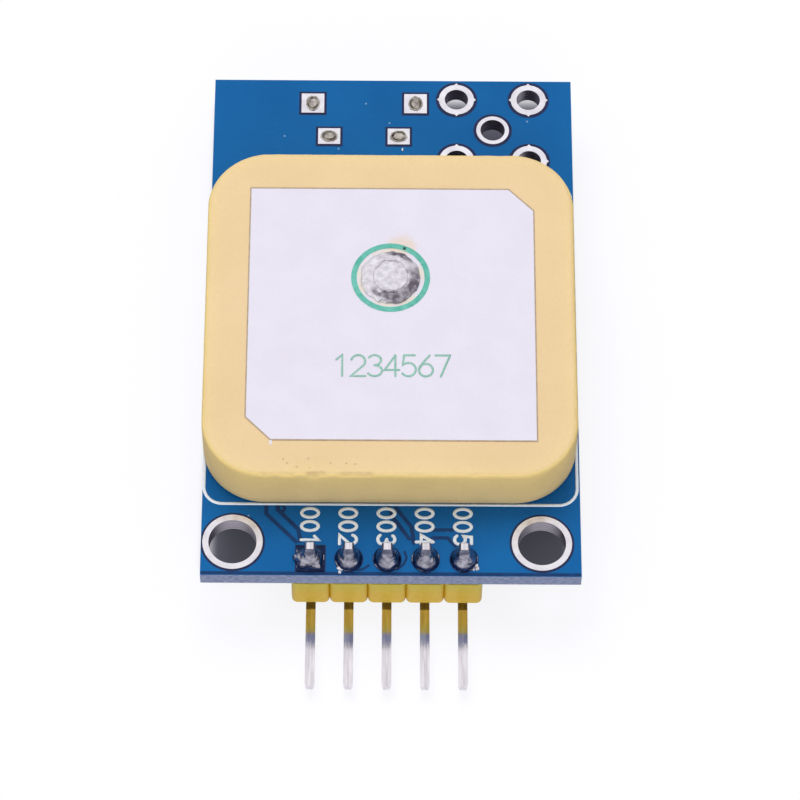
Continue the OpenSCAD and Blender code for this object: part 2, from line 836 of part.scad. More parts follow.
// Square pin: a tail through the board, a bend under the block and a straight reach to the front
module header_pin(i) {
    color("#D9D6DC")
        translate([header_first_x + i * header_pitch, header_y, 0]) {
            translate([0, 0, bend_z])
                tapered_wire(board_t + tail_rise - bend_z);
            translate([0, -bend_r, bend_z])
                rotate([90, 0, 90])
                    rotate(-bend_angle) {
                        rotate_extrude(angle = bend_angle)
                            translate([bend_r, 0])
                                square(pin_w, center = true);
                        translate([bend_r, 0, 0])
                            rotate([90, 0, 0])
                                tapered_wire(pin_reach);
                    }
        }
}

module header_solder(i) {
    color("#C9C6CE")
        translate([header_first_x + i * header_pitch, header_y, 0])
            difference() {
                union() {
                    translate([0, 0, -plating_t])
                        cylinder(d = header_hole_d, h = board_t + 2 * plating_t);
                    translate([0, 0, board_t + plating_t])
                        solder_fillet(header_land_d / 2, pin_w / sqrt(2) + solder_film, header_solder_h,
                                      header_solder_curve);
                }
                translate([0, 0, board_t / 2])
                    cube([pin_w, pin_w, 2 * (board_t + tail_rise)], center = true);
            }
}

// Data socket

// Outline of the shell inset by s: round corners on the board's side, cut corners on the outer side
function shell_outline(s) =
    let (
        half = socket_w / 2,
        drop = shell_cut + s * (sqrt(2) - 1),
        right = concat(
            [
                for (k = [0:curve_steps])
                    let (a = -90 + 90 * k / curve_steps)
                        [half - shell_corner_r + (shell_corner_r - s) * cos(a),
                         shell_corner_r + (shell_corner_r - s) * sin(a)]
            ],
            [[half - s, socket_h - drop], [half - drop, socket_h - s]]
        ),
        left = [for (k = [len(right) - 1:-1:0]) [-right[k][0], right[k][1]]]
    )
    concat(right, left);

// Extrudes an X and Z plan along Y between two places
module along_y(from_y, to_y) {
    translate([0, to_y, 0])
        rotate([90, 0, 0])
            linear_extrude(to_y - from_y)
                children();
}

// Flared lip across the mouth, rising outward in Z
module mouth_lip(w) {
    rotate([90, 0, 90])
        linear_extrude(w, center = true)
            polygon([[0, 0], [lip_l, lip_rise], [lip_l, lip_rise + sheet_t], [0, sheet_t]]);
}

// Folded sheet with flared lips, two latch windows, a rear wall and four legs through the board
module socket_shell() {
    half = socket_w / 2;
    side_h = socket_h - shell_cut - shell_corner_r;
    lip_w = socket_w - 2 * shell_cut - sheet_t;
    window_y = mouth_y - window_inset - window_l;
    window_z = socket_h - sheet_t - overcut;
    mouth_leg_y = back_y - mouth_leg_inset;
    leg_z = -seat_z - leg_end_z;
    color("#D4D4D8")
        on_back([socket_x, 0])
            translate([0, 0, seat_z]) {
                difference() {
                    along_y(rear_wall_y, mouth_y)
                        difference() {
                            polygon(shell_outline(0));
                            polygon(shell_outline(sheet_t));
                        }
                    translate([-contact_gap_w / 2, rear_wall_y - overcut, -overcut])
                        cube([contact_gap_w, overcut + sheet_t + insulator_l, overcut + rear_wall_z]);
                    for (side = [-1, 1])
                        translate([side * window_spacing / 2 - window_w / 2, window_y, window_z])
                            cube([window_w, window_l, sheet_t + 2 * overcut]);
                }
                along_y(rear_wall_y, rear_wall_y + sheet_t)
                    intersection() {
                        polygon(shell_outline(0));
                        translate([-socket_w, rear_wall_z])
                            square([2 * socket_w, socket_h]);
                    }
                translate([0, mouth_y, socket_h - sheet_t])
                    mouth_lip(lip_w);
                translate([0, mouth_y, sheet_t])
                    mirror([0, 0, 1])
                        mouth_lip(lip_w);
                for (side = [-1, 1]) {
                    translate([side * (half - sheet_t), mouth_y, shell_corner_r + side_h / 2])
                        rotate([0, side * 90, 0])
                            mouth_lip(side_h);
                    translate([side * mouth_leg_dx - sheet_t / 2, mouth_leg_y - leg_w / 2, leg_z])
                        cube([sheet_t, leg_w, shell_corner_r + side_h / 2 - leg_z]);
                    translate([side * rear_leg_spacing / 2 - leg_w / 2, rear_wall_y, leg_z])
                        cube([leg_w, sheet_t, rear_wall_z + sheet_t - leg_z]);
                }
            }
}

// One contact: strip along the tongue, drop inside the insulator, foot on the board behind the shell
module socket_contact(k) {
    strip_z = tongue_z - tongue_t / 2;
    drop_y = insulator_y + insulator_l / 2;
    strip_end = insulator_y + insulator_l + tongue_l - contact_setback;
    foot_y = rear_wall_y - contact_foot;
    translate([(k - (contact_count - 1) / 2) * contact_pitch, 0, 0])
        rotate([90, 0, 90])
            linear_extrude(contact_w, center = true)
                polygon([
                    [foot_y, 0], [drop_y, 0], [drop_y, strip_z], [strip_end, strip_z],
                    [strip_end, strip_z + contact_t], [drop_y - contact_t, strip_z + contact_t],
                    [drop_y - contact_t, contact_t], [foot_y, contact_t]
                ]);
}

module socket_insulator() {
    color("#26262A")
        on_back([socket_x, 0])
            translate([0, 0, seat_z])
                difference() {
                    union() {
                        along_y(insulator_y, insulator_y + insulator_l)
                            polygon(shell_outline(sheet_t));
                        translate([-tongue_w / 2, insulator_y, tongue_z - tongue_t / 2])
                            cube([tongue_w, insulator_l + tongue_l, tongue_t]);
                    }
                    for (k = [0:contact_count - 1])
                        socket_contact(k);
                }
}

module socket_contacts() {
    color("#C9A24A")
        on_back([socket_x, 0])
            translate([0, 0, seat_z])
                for (k = [0:contact_count - 1])
                    socket_contact(k);
}

// Solder around the four legs, level with the front lands
module leg_solder() {
    color("#A39C98")
        for (leg = leg_places)
            translate([leg[0], leg[1]])
                difference() {
                    translate([0, 0, -plating_t])
                        linear_extrude(board_t + 2 * plating_t)
                            leg_slot_plan(leg[2], 0);
                    translate([0, 0, leg_end_z / 2 - overcut / 2])
                        rotate(leg[2] ? 90 : 0)
                            cube([leg_w, sheet_t, leg_end_z + overcut], center = true);
                }
}

// Receiver

module edge_contact_places() {
    for (side = [-1, 1], k = [0:edge_contact_count - 1])
        translate([(k - (edge_contact_count - 1) / 2) * edge_contact_pitch, side * receiver_l / 2])
            rotate(side > 0 ? 0 : 180)
                children();
}

module receiver_board() {
    color("#1F5A3C")
        on_back([board_x, receiver_y])
            linear_extrude(receiver_t)
                difference() {
                    square([receiver_w, receiver_l], center = true);
                    edge_contact_places()
                        translate([-edge_contact_w / 2, -edge_contact_l])
                            square([edge_contact_w, edge_contact_l + overcut]);
                }
}

// Edge contacts with a half hole in each
module receiver_contacts() {
    color("#D2B670")
        on_back([board_x, receiver_y])
            linear_extrude(receiver_t)
                edge_contact_places()
                    difference() {
                        translate([-edge_contact_w / 2, -edge_contact_l])
                            square([edge_contact_w, edge_contact_l]);
                        circle(d = edge_hole_d);
                    }
}

module receiver_can() {
    color("#C8C8C4")
        on_back([board_x, receiver_y])
            translate([0, 0, receiver_t])
                soft_block(can_w, can_l, can_h, can_corner_r, can_edge_r);
}

// Backup cell

// Can with a raised cap, its edges rounded, lying on the lower tab
module backup_cell() {
    cap_r = cell_cap_d / 2;
    side_h = cell_h - cell_cap_h;
    edge_r = cell_cap_h;
    arc = function (r, top) [
        for (k = [0:curve_steps])
            let (a = 90 * k / curve_steps) [r - edge_r + edge_r * cos(a), top - edge_r + edge_r * sin(a)]
    ];
    color("#D0D0D2")
        on_back([cell_x, cell_y])
            translate([0, 0, tab_t])
                rotate_extrude()
                    polygon(concat(
                        [[0, 0], [cell_d / 2, 0]],
                        arc(cell_d / 2, side_h),
                        [[cap_r, side_h]],
                        arc(cap_r, cell_h),
                        [[0, cell_h]]
                    ));
}

// Ring on the cell's shoulder, around the foot of the cap
module cell_gasket() {
    color("#26262A")
        on_back([cell_x, cell_y])
            translate([0, 0, tab_t + cell_h - cell_cap_h])
                rotate_extrude()
                    translate([cell_cap_d / 2, 0])
                        square([gasket_w, gasket_h]);
}

// Flat tab under the cell, its end on the board beyond the cell
module cell_tab_lower() {
    color("#C4C4C6")
        on_back([cell_x, cell_y])
            translate([-tab_w / 2, 0, 0])
                cube([tab_w, cell_d / 2 + tab_l, tab_t]);
}

// Tab across the cap, bent down beside the cell to a foot on the board
module cell_tab_upper() {
    top_z = tab_t + cell_h;
    drop_y = -cell_d / 2 - tab_gap;
    color("#C4C4C6")
        on_back([cell_x, cell_y])
            rotate([90, 0, 90])
                linear_extrude(tab_w, center = true)
                    polygon([
                        [cell_cap_d / 4, top_z], [cell_cap_d / 4, top_z + tab_t],
                        [drop_y - tab_t, top_z + tab_t], [drop_y - tab_t, tab_t],
                        [-cell_d / 2 - tab_l, tab_t], [-cell_d / 2 - tab_l, 0],
                        [drop_y, 0], [drop_y, top_z]
                    ]);
}

// Chips

module memory_chip() {
    color("#2A2A2C")
        on_back([memory_x, memory_y])
            chip_body(memory_w, memory_l, memory_h, memory_lead_w);
}

module memory_leads() {
    waist = (memory_h + chip_standoff + lead_t) / 2;
    color("#C9C6CE")
        on_back([memory_x, memory_y])
            for (turn = [0, 180], k = [0:memory_lead_count - 1])
                rotate(turn)
                    translate([(k - (memory_lead_count - 1) / 2) * memory_lead_pitch, memory_l / 2, 0])
                        gull_lead(memory_lead_w, waist);
}

module regulator() {
    color("#2A2A2C")
        on_back([regulator_x, regulator_y])
            chip_body(regulator_w, regulator_l, regulator_h, 0);
}

// Three leads on one side, two on the other
module regulator_leads() {
    waist = (regulator_h + chip_standoff + lead_t) / 2;
    color("#C9C6CE")
        on_back([regulator_x, regulator_y]) {
            for (k = [-1, 0, 1])
                translate([k * regulator_lead_pitch, regulator_l / 2, 0])
                    gull_lead(regulator_lead_w, waist);
            for (k = [-1, 1])
                translate([k * regulator_lead_pitch, -regulator_l / 2, 0])
                    rotate(180)
                        gull_lead(regulator_lead_w, waist);
        }
}

module diode() {
    color("#2A2A2C")
        on_back([diode_x, diode_y])
            chip_body(diode_w, diode_l, diode_h, 0);
}

module diode_leads() {
    waist = (diode_h + chip_standoff + lead_t) / 2;
    color("#C9C6CE")
        on_back([diode_x, diode_y])
            for (turn = [0, 180])
                rotate(turn)
                    translate([0, diode_l / 2, 0])
                        gull_lead(diode_lead_w, waist);
}

// Lamp: a base between the terminals with a clear block on it
module lamp(place) {
    half = chip_l / 2 - terminal_l;
    on_back(place, place[2]) {
        small_body(lamp_base_h);
        rotate([90, 0, 0])
            linear_extrude(chip_w, center = true)
                polygon([
                    [-half, lamp_base_h], [half, lamp_base_h],
                    [half - lamp_draft, lamp_h], [-half + lamp_draft, lamp_h]
                ]);
    }
}

module power_lamp() {
    color("#E8D9C0")
        lamp(lamp_places[0]);
}

module pulse_lamp() {
    color("#E8D9C0")
        lamp(lamp_places[1]);
}

module chip_resistors() {
    color("#2B2B2E")
        for (place = resistor_places)
            on_back(place, place[2])
                small_body(resistor_h);
}

module chip_capacitors() {
    color("#A98B66")
        for (place = capacitor_places)
            on_back(place, place[2])
                small_body(capacitor_h);
}

module bias_inductor() {
    color("#4A4A50")
        on_back(inductor_place, inductor_place[2])
            small_body(inductor_h);
}

// End terminals of all the small chips
module chip_terminals() {
    color("#D4D4D8") {
        for (place = lamp_places)
            on_back(place, place[2])
                small_terminals(lamp_base_h);
        for (place = resistor_places)
            on_back(place, place[2])
                small_terminals(resistor_h);
        for (place = capacitor_places)
            on_back(place, place[2])
                small_terminals(capacitor_h);
        on_back(inductor_place, inductor_place[2])
            small_terminals(inductor_h);
    }
}

// Miniature coaxial socket

// Centre contact with its strip to the signal foot
module mini_contact_solid() {
    cylinder(d = mini_pin_d, h = mini_base_t + mini_pin_h);
    translate([-mini_pin_d / 2, -mini_base_w / 2 - mini_foot_l, 0])
        cube([mini_pin_d, mini_base_w / 2 + mini_foot_l, mini_foot_t]);
}

module mini_coax_base() {
    color("#E9E4D6")
        on_back([mini_coax_x, mini_coax_y])
            difference() {
                translate([0, 0, mini_base_t / 2])
                    cube([mini_base_w, mini_base_w, mini_base_t], center = true);
                mini_contact_solid();
            }
}

// Ring with a snap groove, and a foot on each side of the base
module mini_coax_ring() {
    outer_r = mini_ring_d / 2;
    inner_r = outer_r - mini_ring_wall;
    base_half = mini_base_w / 2;
    color("#D2B670")
        on_back([mini_coax_x, mini_coax_y]) {
            translate([0, 0, mini_base_t])
                rotate_extrude()
                    polygon([
                        [inner_r, 0], [outer_r, 0], [outer_r, mini_groove_z - mini_groove],
                        [outer_r - mini_groove, mini_groove_z], [outer_r, mini_groove_z + mini_groove],
                        [outer_r, mini_ring_h], [inner_r, mini_ring_h]
                    ]);
            for (side = [-1, 1])
                scale([side, 1, 1])
                    rotate([90, 0, 0])
                        linear_extrude(mini_foot_w, center = true)
                            polygon([
                                [outer_r - mini_ring_wall / 2, mini_base_t], [base_half, mini_base_t],
                                [base_half, 0], [base_half + mini_foot_t, 0],
                                [base_half + mini_foot_t, mini_base_t + mini_foot_t],
                                [outer_r - mini_ring_wall / 2, mini_base_t + mini_foot_t]
                            ]);
        }
}

module mini_coax_contact() {
    color("#D2B670")
        on_back([mini_coax_x, mini_coax_y])
            mini_contact_solid();
}

circuit_board();
mounting_ring(-1);  // mounting_ring_1
mounting_ring(1);  // mounting_ring_2
coax_centre_ring();
header_lands();
feed_land();
antenna_ceramic();
antenna_patch();
antenna_tape();
feed_pin();
feed_solder();
feed_tail_solder();
feed_print();
header_block();
socket_shell();
socket_insulator();
socket_contacts();
leg_solder();
receiver_board();
receiver_can();
receiver_contacts();
backup_cell();
cell_gasket();
cell_tab_lower();
cell_tab_upper();
memory_chip();
memory_leads();
regulator();
regulator_leads();
diode();
diode_leads();
mini_coax_base();
mini_coax_ring();
mini_coax_contact();
power_lamp();
pulse_lamp();
chip_resistors();
chip_capacitors();
bias_inductor();
chip_terminals();
for (i = [0:pin_count - 1]) header_pin(i);
for (i = [0:pin_count - 1]) header_solder(i);
for (i = [0:len(coax_places) - 1]) coax_ring(coax_places[i]);
for (i = [0:len(leg_places) - 1]) leg_pad(leg_places[i]);
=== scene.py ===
"""Looks of a satellite positioning module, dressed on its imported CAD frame: a blue circuit board with a
ceramic patch antenna in front, a bent pin header along one edge and the receiver's parts behind."""
import json
import math
import random

import bmesh
import bpy
from mathutils import Matrix, Quaternion, Vector, noise


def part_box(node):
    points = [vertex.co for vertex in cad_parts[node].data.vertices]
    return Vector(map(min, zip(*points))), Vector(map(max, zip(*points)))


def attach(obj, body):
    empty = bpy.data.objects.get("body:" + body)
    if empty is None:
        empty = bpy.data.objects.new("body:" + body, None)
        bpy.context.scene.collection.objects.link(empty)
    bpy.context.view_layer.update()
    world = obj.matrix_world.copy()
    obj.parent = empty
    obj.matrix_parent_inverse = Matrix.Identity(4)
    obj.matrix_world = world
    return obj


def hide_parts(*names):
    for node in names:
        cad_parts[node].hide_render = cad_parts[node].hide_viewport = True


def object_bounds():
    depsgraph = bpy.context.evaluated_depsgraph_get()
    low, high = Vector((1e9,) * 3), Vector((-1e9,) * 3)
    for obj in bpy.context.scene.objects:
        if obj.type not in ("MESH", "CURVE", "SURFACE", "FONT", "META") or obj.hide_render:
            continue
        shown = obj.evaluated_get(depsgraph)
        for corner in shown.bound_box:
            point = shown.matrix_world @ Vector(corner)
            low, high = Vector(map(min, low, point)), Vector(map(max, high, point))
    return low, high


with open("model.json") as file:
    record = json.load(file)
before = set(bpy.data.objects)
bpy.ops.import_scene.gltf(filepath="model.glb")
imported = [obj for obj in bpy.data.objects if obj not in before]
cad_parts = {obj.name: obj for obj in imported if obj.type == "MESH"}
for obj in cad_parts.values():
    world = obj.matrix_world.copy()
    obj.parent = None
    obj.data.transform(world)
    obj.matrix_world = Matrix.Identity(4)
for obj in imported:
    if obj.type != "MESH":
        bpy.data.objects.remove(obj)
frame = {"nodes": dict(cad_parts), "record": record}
cad_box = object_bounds()

MM = 0.001


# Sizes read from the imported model, in millimetres

def corners(node):
    low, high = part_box(node)
    return low / MM, high / MM


def middle(node):
    low, high = corners(node)
    return (low + high) / 2


BOARD_LOW, BOARD_HIGH = corners("circuit_board")
FRONT = BOARD_HIGH.z
BLOCK_LOW, BLOCK_HIGH = corners("antenna_ceramic")
# Radius of the ceramic block's worn upper edge
BLOCK_EDGE = 0.4
PATCH_LOW, PATCH_HIGH = corners("antenna_patch")
# Length of the patch's two cut corners along its sides
PATCH_CUT = 1.7
FEED = middle("feed_pin")
PINS = [middle(f"header_solder_{n}") for n in range(1, 6)]
LAND_TOP = corners("header_lands")[1].z


# Materials

def colour(code):
    """Linear colour of an sRGB hex code."""
    parts = [int(code[k:k + 2], 16) / 255 for k in (1, 3, 5)]
    return [p / 12.92 if p <= 0.04045 else ((p + 0.055) / 1.055) ** 2.4 for p in parts] + [1.0]


def per_metre(size):
    """Texture scale at which one grain is about this many millimetres."""
    return 1 / (size * MM)


def add(tree, kind, sockets=None, **settings):
    """Adds a shader node with its settings; an input is a link, a hex colour or a plain value."""
    made = tree.nodes.new("ShaderNode" + kind)
    for name, value in settings.items():
        setattr(made, name, value)
    for key, value in (sockets or {}).items():
        if isinstance(value, bpy.types.NodeSocket):
            tree.links.new(value, made.inputs[key])
        else:
            made.inputs[key].default_value = colour(value) if isinstance(value, str) else value
    return made.outputs


def finish(name, base, rough, metal=0.0, **sockets):
    """A material with its shader set; returns it, its node tree, its shader and object coordinates."""
    made = bpy.data.materials.new(name)
    made.use_nodes = True
    tree = made.node_tree
    shader = tree.nodes["Principled BSDF"]
    shader.inputs["Base Color"].default_value = colour(base)
    shader.inputs["Roughness"].default_value = rough
    shader.inputs["Metallic"].default_value = metal
    for key, value in sockets.items():
        shader.inputs[key.replace("_", " ")].default_value = value
    return made, tree, shader, add(tree, "TexCoord")["Object"]


def wire(tree, shader, **sources):
    """Links outputs to the shader's sockets."""
    for key, source in sources.items():
        tree.links.new(source, shader.inputs[key.replace("_", " ")])


def mottle(tree, place, size, low=0.0, high=1.0, detail=3.0):
    """Cloudy pattern of that grain in millimetres, spread between two values."""
    grain = add(tree, "TexNoise", {"Vector": place, "Scale": per_metre(size), "Detail": detail})["Fac"]
    # Most of the noise lies between 0.3 and 0.7
    spread = {"From Min": 0.3, "From Max": 0.7, "To Min": low, "To Max": high}
    return add(tree, "MapRange", {"Value": grain, **spread})[0]


def specks(tree, place, spacing, size, share):
    """1 on specks of that size and spacing in millimetres, seen from above, else 0; share is how many of the
    spots have one."""
    spot = add(tree, "TexVoronoi", {"Vector": place, "Scale": per_metre(spacing)}, voronoi_dimensions="2D")
    near = add(tree, "MapRange", {"Value": spot["Distance"], "From Min": 0.35 * size / spacing,
                                  "From Max": 0.6 * size / spacing, "To Min": 1, "To Max": 0})[0]
    draw = add(tree, "SeparateColor", {"Color": spot["Color"]})[0]
    kept = add(tree, "Math", {0: draw, 1: share}, operation="LESS_THAN")[0]
    return add(tree, "Math", {0: near, 1: kept}, operation="MULTIPLY")[0]


def two_tone(name, dark, light, rough, tone, grain, depth, metal=0.0, spread=0.0, drawn=1.0, **sockets):
    """Finish that drifts between two tones over some millimetres, with a grain of that size and depth; drawn
    is how many times longer the pattern is from front to back. The grain of real plating, sheet, ink and
    plastic is finer than a tenth of a millimetre, and is drawn as coarse as it needs to show."""
    made, tree, shader, place = finish(name, light, rough, metal, **sockets)
    place = add(tree, "Mapping", {"Vector": place, "Scale": (1, 1 / drawn, 1)})[0]
    drift = mottle(tree, place, tone)
    body = add(tree, "Mix", {0: drift, 6: dark, 7: light}, data_type="RGBA")[2]
    bump = add(tree, "Bump", {"Height": mottle(tree, place, grain), "Distance": depth * MM})[0]
    wire(tree, shader, Base_Color=body, Normal=bump)
    if spread:
        wire(tree, shader, Roughness=mottle(tree, place, tone, rough - spread, rough + spread))
    return made


def solder_mask():
    """Blue solder mask, curtain coated over copper on woven glass laminate: satin, with a faint orange
    peel and a little dust; the routed edge shows bare pale fibres."""
    satin, routed = 0.34, 0.85
    made, tree, shader, place = finish("solder_mask_on_glass_laminate", "#0A5E9E", satin,
                                       Specular_IOR_Level=0.16)
    lean = add(tree, "SeparateXYZ", {"Vector": add(tree, "NewGeometry")["Normal"]})["Z"]
    lean = add(tree, "Math", {0: lean}, operation="ABSOLUTE")[0]
    face = add(tree, "MapRange", {"Value": lean, "From Min": 0.4, "From Max": 0.8})[0]
    mask = add(tree, "Mix", {0: mottle(tree, place, 5), 6: "#075B9B", 7: "#0D63A4"}, data_type="RGBA")[2]
    dust = specks(tree, place, spacing=1.9, size=0.14, share=0.16)
    dust = add(tree, "Math", {0: dust, 1: 0.55}, operation="MULTIPLY")[0]
    mask = add(tree, "Mix", {0: dust, 6: mask, 7: "#A9C3DD"}, data_type="RGBA")[2]
    # Glass fibres are in truth a hundredth of a millimetre thick, and drawn here as wide bundles that show
    fibre = add(tree, "Mapping", {"Vector": place, "Scale": (1, 1, 5)})[0]
    edge = add(tree, "Mix", {0: mottle(tree, fibre, 0.35, detail=5), 6: "#6A7AA2", 7: "#BFC8E4"},
               data_type="RGBA")[2]
    body = add(tree, "Mix", {0: face, 6: edge, 7: mask}, data_type="RGBA")[2]
    rough = add(tree, "MapRange", {"Value": face, "To Min": routed, "To Max": satin})[0]
    bump = add(tree, "Bump", {"Height": mottle(tree, place, 0.3), "Distance": 0.012 * MM})[0]
    wire(tree, shader, Base_Color=body, Roughness=rough, Normal=bump)
    return made


def dielectric_ceramic():
    """Dense microwave ceramic, pressed and fired: matte sandy body, golden on its walls, brighter upwards and
    on the rounded edge as painted light, with fine grain, faint clouds and painted shade of pits along the
    front."""
    made, tree, shader, place = finish("fired_dielectric_ceramic", "#E9CDA0", 0.62, Specular_IOR_Level=0.3)
    wall = add(tree, "Attribute", attribute_name="wall")["Fac"]
    spot = add(tree, "SeparateXYZ", {"Vector": place})
    rise = add(tree, "MapRange", {"Value": spot["Z"], "From Min": BLOCK_LOW.z * MM,
                                  "From Max": (BLOCK_HIGH.z - BLOCK_EDGE) * MM})[0]
    top = add(tree, "Mix", {0: mottle(tree, place, 6), 6: "#E6CA9C", 7: "#EBD0A4"}, data_type="RGBA")[2]
    # Painted light: the walls brighten from painted shade at the foot to a painted highlight on the rounded
    # edge
    side = add(tree, "Mix", {0: rise, 6: "#EBCF97", 7: "#FFE195"}, data_type="RGBA")[2]
    cloud = add(tree, "Math", {0: mottle(tree, place, 2.6), 1: 0.45}, operation="MULTIPLY")[0]
    side = add(tree, "Mix", {0: cloud, 6: side, 7: "#E5CB88"}, data_type="RGBA")[2]
    body = add(tree, "Mix", {0: wall, 6: top, 7: side}, data_type="RGBA")[2]
    chipped = add(tree, "Attribute", attribute_name="chipped")["Fac"]
    chipped = add(tree, "Math", {0: chipped, 1: 0.45}, operation="MULTIPLY")[0]
    body = add(tree, "Mix", {0: chipped, 6: body, 7: "#C7AE82"}, data_type="RGBA")[2]
    # Grains of the fired body, in truth a hundredth of a millimetre wide, drawn coarser so that they show
    grain = mottle(tree, place, 0.22, detail=4)
    faint = add(tree, "Math", {0: grain, 1: 0.2}, operation="MULTIPLY")[0]
    body = add(tree, "Mix", {0: faint, 6: body, 7: "#DDBE8C"}, data_type="RGBA")[2]
    # Painted shade of pits, only in a strip inside the front edge: middle and half width of the strip each
    # way
    pit_shade = specks(tree, place, spacing=0.8, size=0.15, share=0.8)
    for axis, centre, half in (("X", -5.2, 3.4), ("Y", BLOCK_LOW.y + 0.95, 0.42)):
        within = add(tree, "Math", {0: spot[axis], 1: centre * MM, 2: half * MM}, operation="COMPARE")[0]
        pit_shade = add(tree, "Math", {0: pit_shade, 1: within}, operation="MULTIPLY")[0]
    pit_shade = add(tree, "Math", {0: pit_shade, 1: 0.36}, operation="MULTIPLY")[0]
    body = add(tree, "Mix", {0: pit_shade, 6: body, 7: "#7F6A48"}, data_type="RGBA")[2]
    bump = add(tree, "Bump", {"Height": grain, "Distance": 0.012 * MM})[0]
    wire(tree, shader, Base_Color=body, Normal=bump)
    return made


def fired_silver():
    """Thick-film silver paste, screened and fired on: white satin metal, with a peach flux stain behind the
    feed and a creamy one around its joint."""
    made, tree, shader, place = finish("fired_silver_paste", "#EFEAF7", 0.56, 1.0)
    film = add(tree, "Mix", {0: mottle(tree, place, 2.5), 6: "#EEE9F6", 7: "#F1EDF9"}, data_type="RGBA")[2]
    feed = add(tree, "VectorMath", {0: place, 1: FEED * MM}, operation="SUBTRACT")[0]
    feed = add(tree, "VectorMath", {0: feed, 1: (1, 1, 0)}, operation="MULTIPLY")[0]
    stain_place, stain_shape = (0.72 * MM, 2.5 * MM, 0), (0.78, 0.9, 1)
    away = add(tree, "VectorMath", {0: feed, 1: stain_place}, operation="SUBTRACT")[0]
    away = add(tree, "VectorMath", {0: away, 1: stain_shape}, operation="MULTIPLY")[0]
    away = add(tree, "VectorMath", {0: away}, operation="LENGTH")["Value"]
    reach = add(tree, "Math", {0: away, 1: mottle(tree, place, 0.8, -0.2 * MM, 0.2 * MM)}, operation="ADD")[0]
    stain = add(tree, "MapRange", {"Value": reach, "From Min": 0.45 * MM, "From Max": 0.95 * MM,
                                   "To Min": 0.75, "To Max": 0}, interpolation_type="SMOOTHSTEP")[0]
    film = add(tree, "Mix", {0: stain, 6: film, 7: "#F1DFD0"}, data_type="RGBA")[2]
    out = add(tree, "VectorMath", {0: feed}, operation="LENGTH")["Value"]
    halo = add(tree, "MapRange", {"Value": out, "From Min": 2.2 * MM, "From Max": 2.45 * MM,
                                  "To Min": 1, "To Max": 0})[0]
    halo = add(tree, "Math", {0: halo, 1: mottle(tree, place, 1.6, -0.3, 1.0)}, operation="MULTIPLY")[0]
    film = add(tree, "Mix", {0: halo, 6: film, 7: "#F0E4C4"}, data_type="RGBA")[2]
    # Marks of the printing screen, in truth half as wide, drawn coarser so that they show
    bump = add(tree, "Bump", {"Height": mottle(tree, place, 0.2, detail=5), "Distance": 0.006 * MM})[0]
    wire(tree, shader, Base_Color=film, Normal=bump)
    return made


def levelled_tin():
    """Copper lands dipped in tin and levelled with hot air: pale, bright and softly pooled; darker on the
    walls of the holes as painted shade."""
    made, tree, shader, place = finish("hot_air_levelled_tin", "#F0ECF4", 0.34, 1.0)
    lean = add(tree, "SeparateXYZ", {"Vector": add(tree, "NewGeometry")["Normal"]})["Z"]
    lean = add(tree, "Math", {0: lean}, operation="ABSOLUTE")[0]
    face = add(tree, "MapRange", {"Value": lean, "From Min": 0.3, "From Max": 0.6})[0]
    land = add(tree, "Mix", {0: mottle(tree, place, 0.7), 6: "#DEDAE3", 7: "#F5F2FA"}, data_type="RGBA")[2]
    # Streaks of the drill under the plating, which come and go around the hole. In truth they lie closer
    # together, and are drawn this many millimetres apart so that they show.
    streak_gap = 0.3
    depth = add(tree, "SeparateXYZ", {"Vector": place})["Z"]
    depth = add(tree, "Math", {0: depth, 1: mottle(tree, place, 1.5, 0, 0.12 * MM)}, operation="ADD")[0]
    depth = add(tree, "Math", {0: depth, 1: 2 * math.pi / (streak_gap * MM)}, operation="MULTIPLY")[0]
    ridge = add(tree, "Math", {0: depth}, operation="SINE")[0]
    ridge = add(tree, "MapRange", {"Value": ridge, "From Min": -1})[0]
    ridge = add(tree, "Mix", {0: mottle(tree, place, 1.2, 0, 0.8), 2: 0.5, 3: ridge})[0]
    # Darker on the walls of the holes: painted shade
    shaded_lining = add(tree, "Mix", {0: ridge, 6: "#6B6774", 7: "#C4BEC9"}, data_type="RGBA")[2]
    body = add(tree, "Mix", {0: face, 6: shaded_lining, 7: land}, data_type="RGBA")[2]
    height = add(tree, "Mix", {0: face, 2: ridge, 3: mottle(tree, place, 0.7)})[0]
    bump = add(tree, "Bump", {"Height": height, "Distance": 0.012 * MM})[0]
    wire(tree, shader, Base_Color=body, Roughness=mottle(tree, place, 0.7, 0.28, 0.42), Normal=bump)
    return made


def hand_solder(name, dark, light, shade_and_reflection_tone, blotch=0.2):
    """Tin solder, melted on by hand: bright where it froze smooth, with painted shade and painted reflection,
    darker and rougher, on its flanks in blotches of that many millimetres."""
    smooth, shaded_rough = 0.26, 0.45
    made, tree, shader, place = finish(name, light, smooth, 1.0)
    shade_and_reflection = add(tree, "Attribute", attribute_name="shade_and_reflection")["Fac"]
    metal = add(tree, "Mix", {0: mottle(tree, place, 0.4), 6: dark, 7: light}, data_type="RGBA")[2]
    patchy = add(tree, "Math", {0: shade_and_reflection, 1: mottle(tree, place, blotch, 0.45, 1.3, 4)}, operation="MULTIPLY",
                 use_clamp=True)[0]
    # Painted shade and painted reflection, where the pieces mark them
    body = add(tree, "Mix", {0: patchy, 6: metal, 7: shade_and_reflection_tone}, data_type="RGBA")[2]
    rough = add(tree, "MapRange", {"Value": patchy, "To Min": smooth, "To Max": shaded_rough})[0]
    bump = add(tree, "Bump", {"Height": mottle(tree, place, 0.3), "Distance": 0.012 * MM})[0]
    wire(tree, shader, Base_Color=body, Roughness=rough, Normal=bump)
    return made


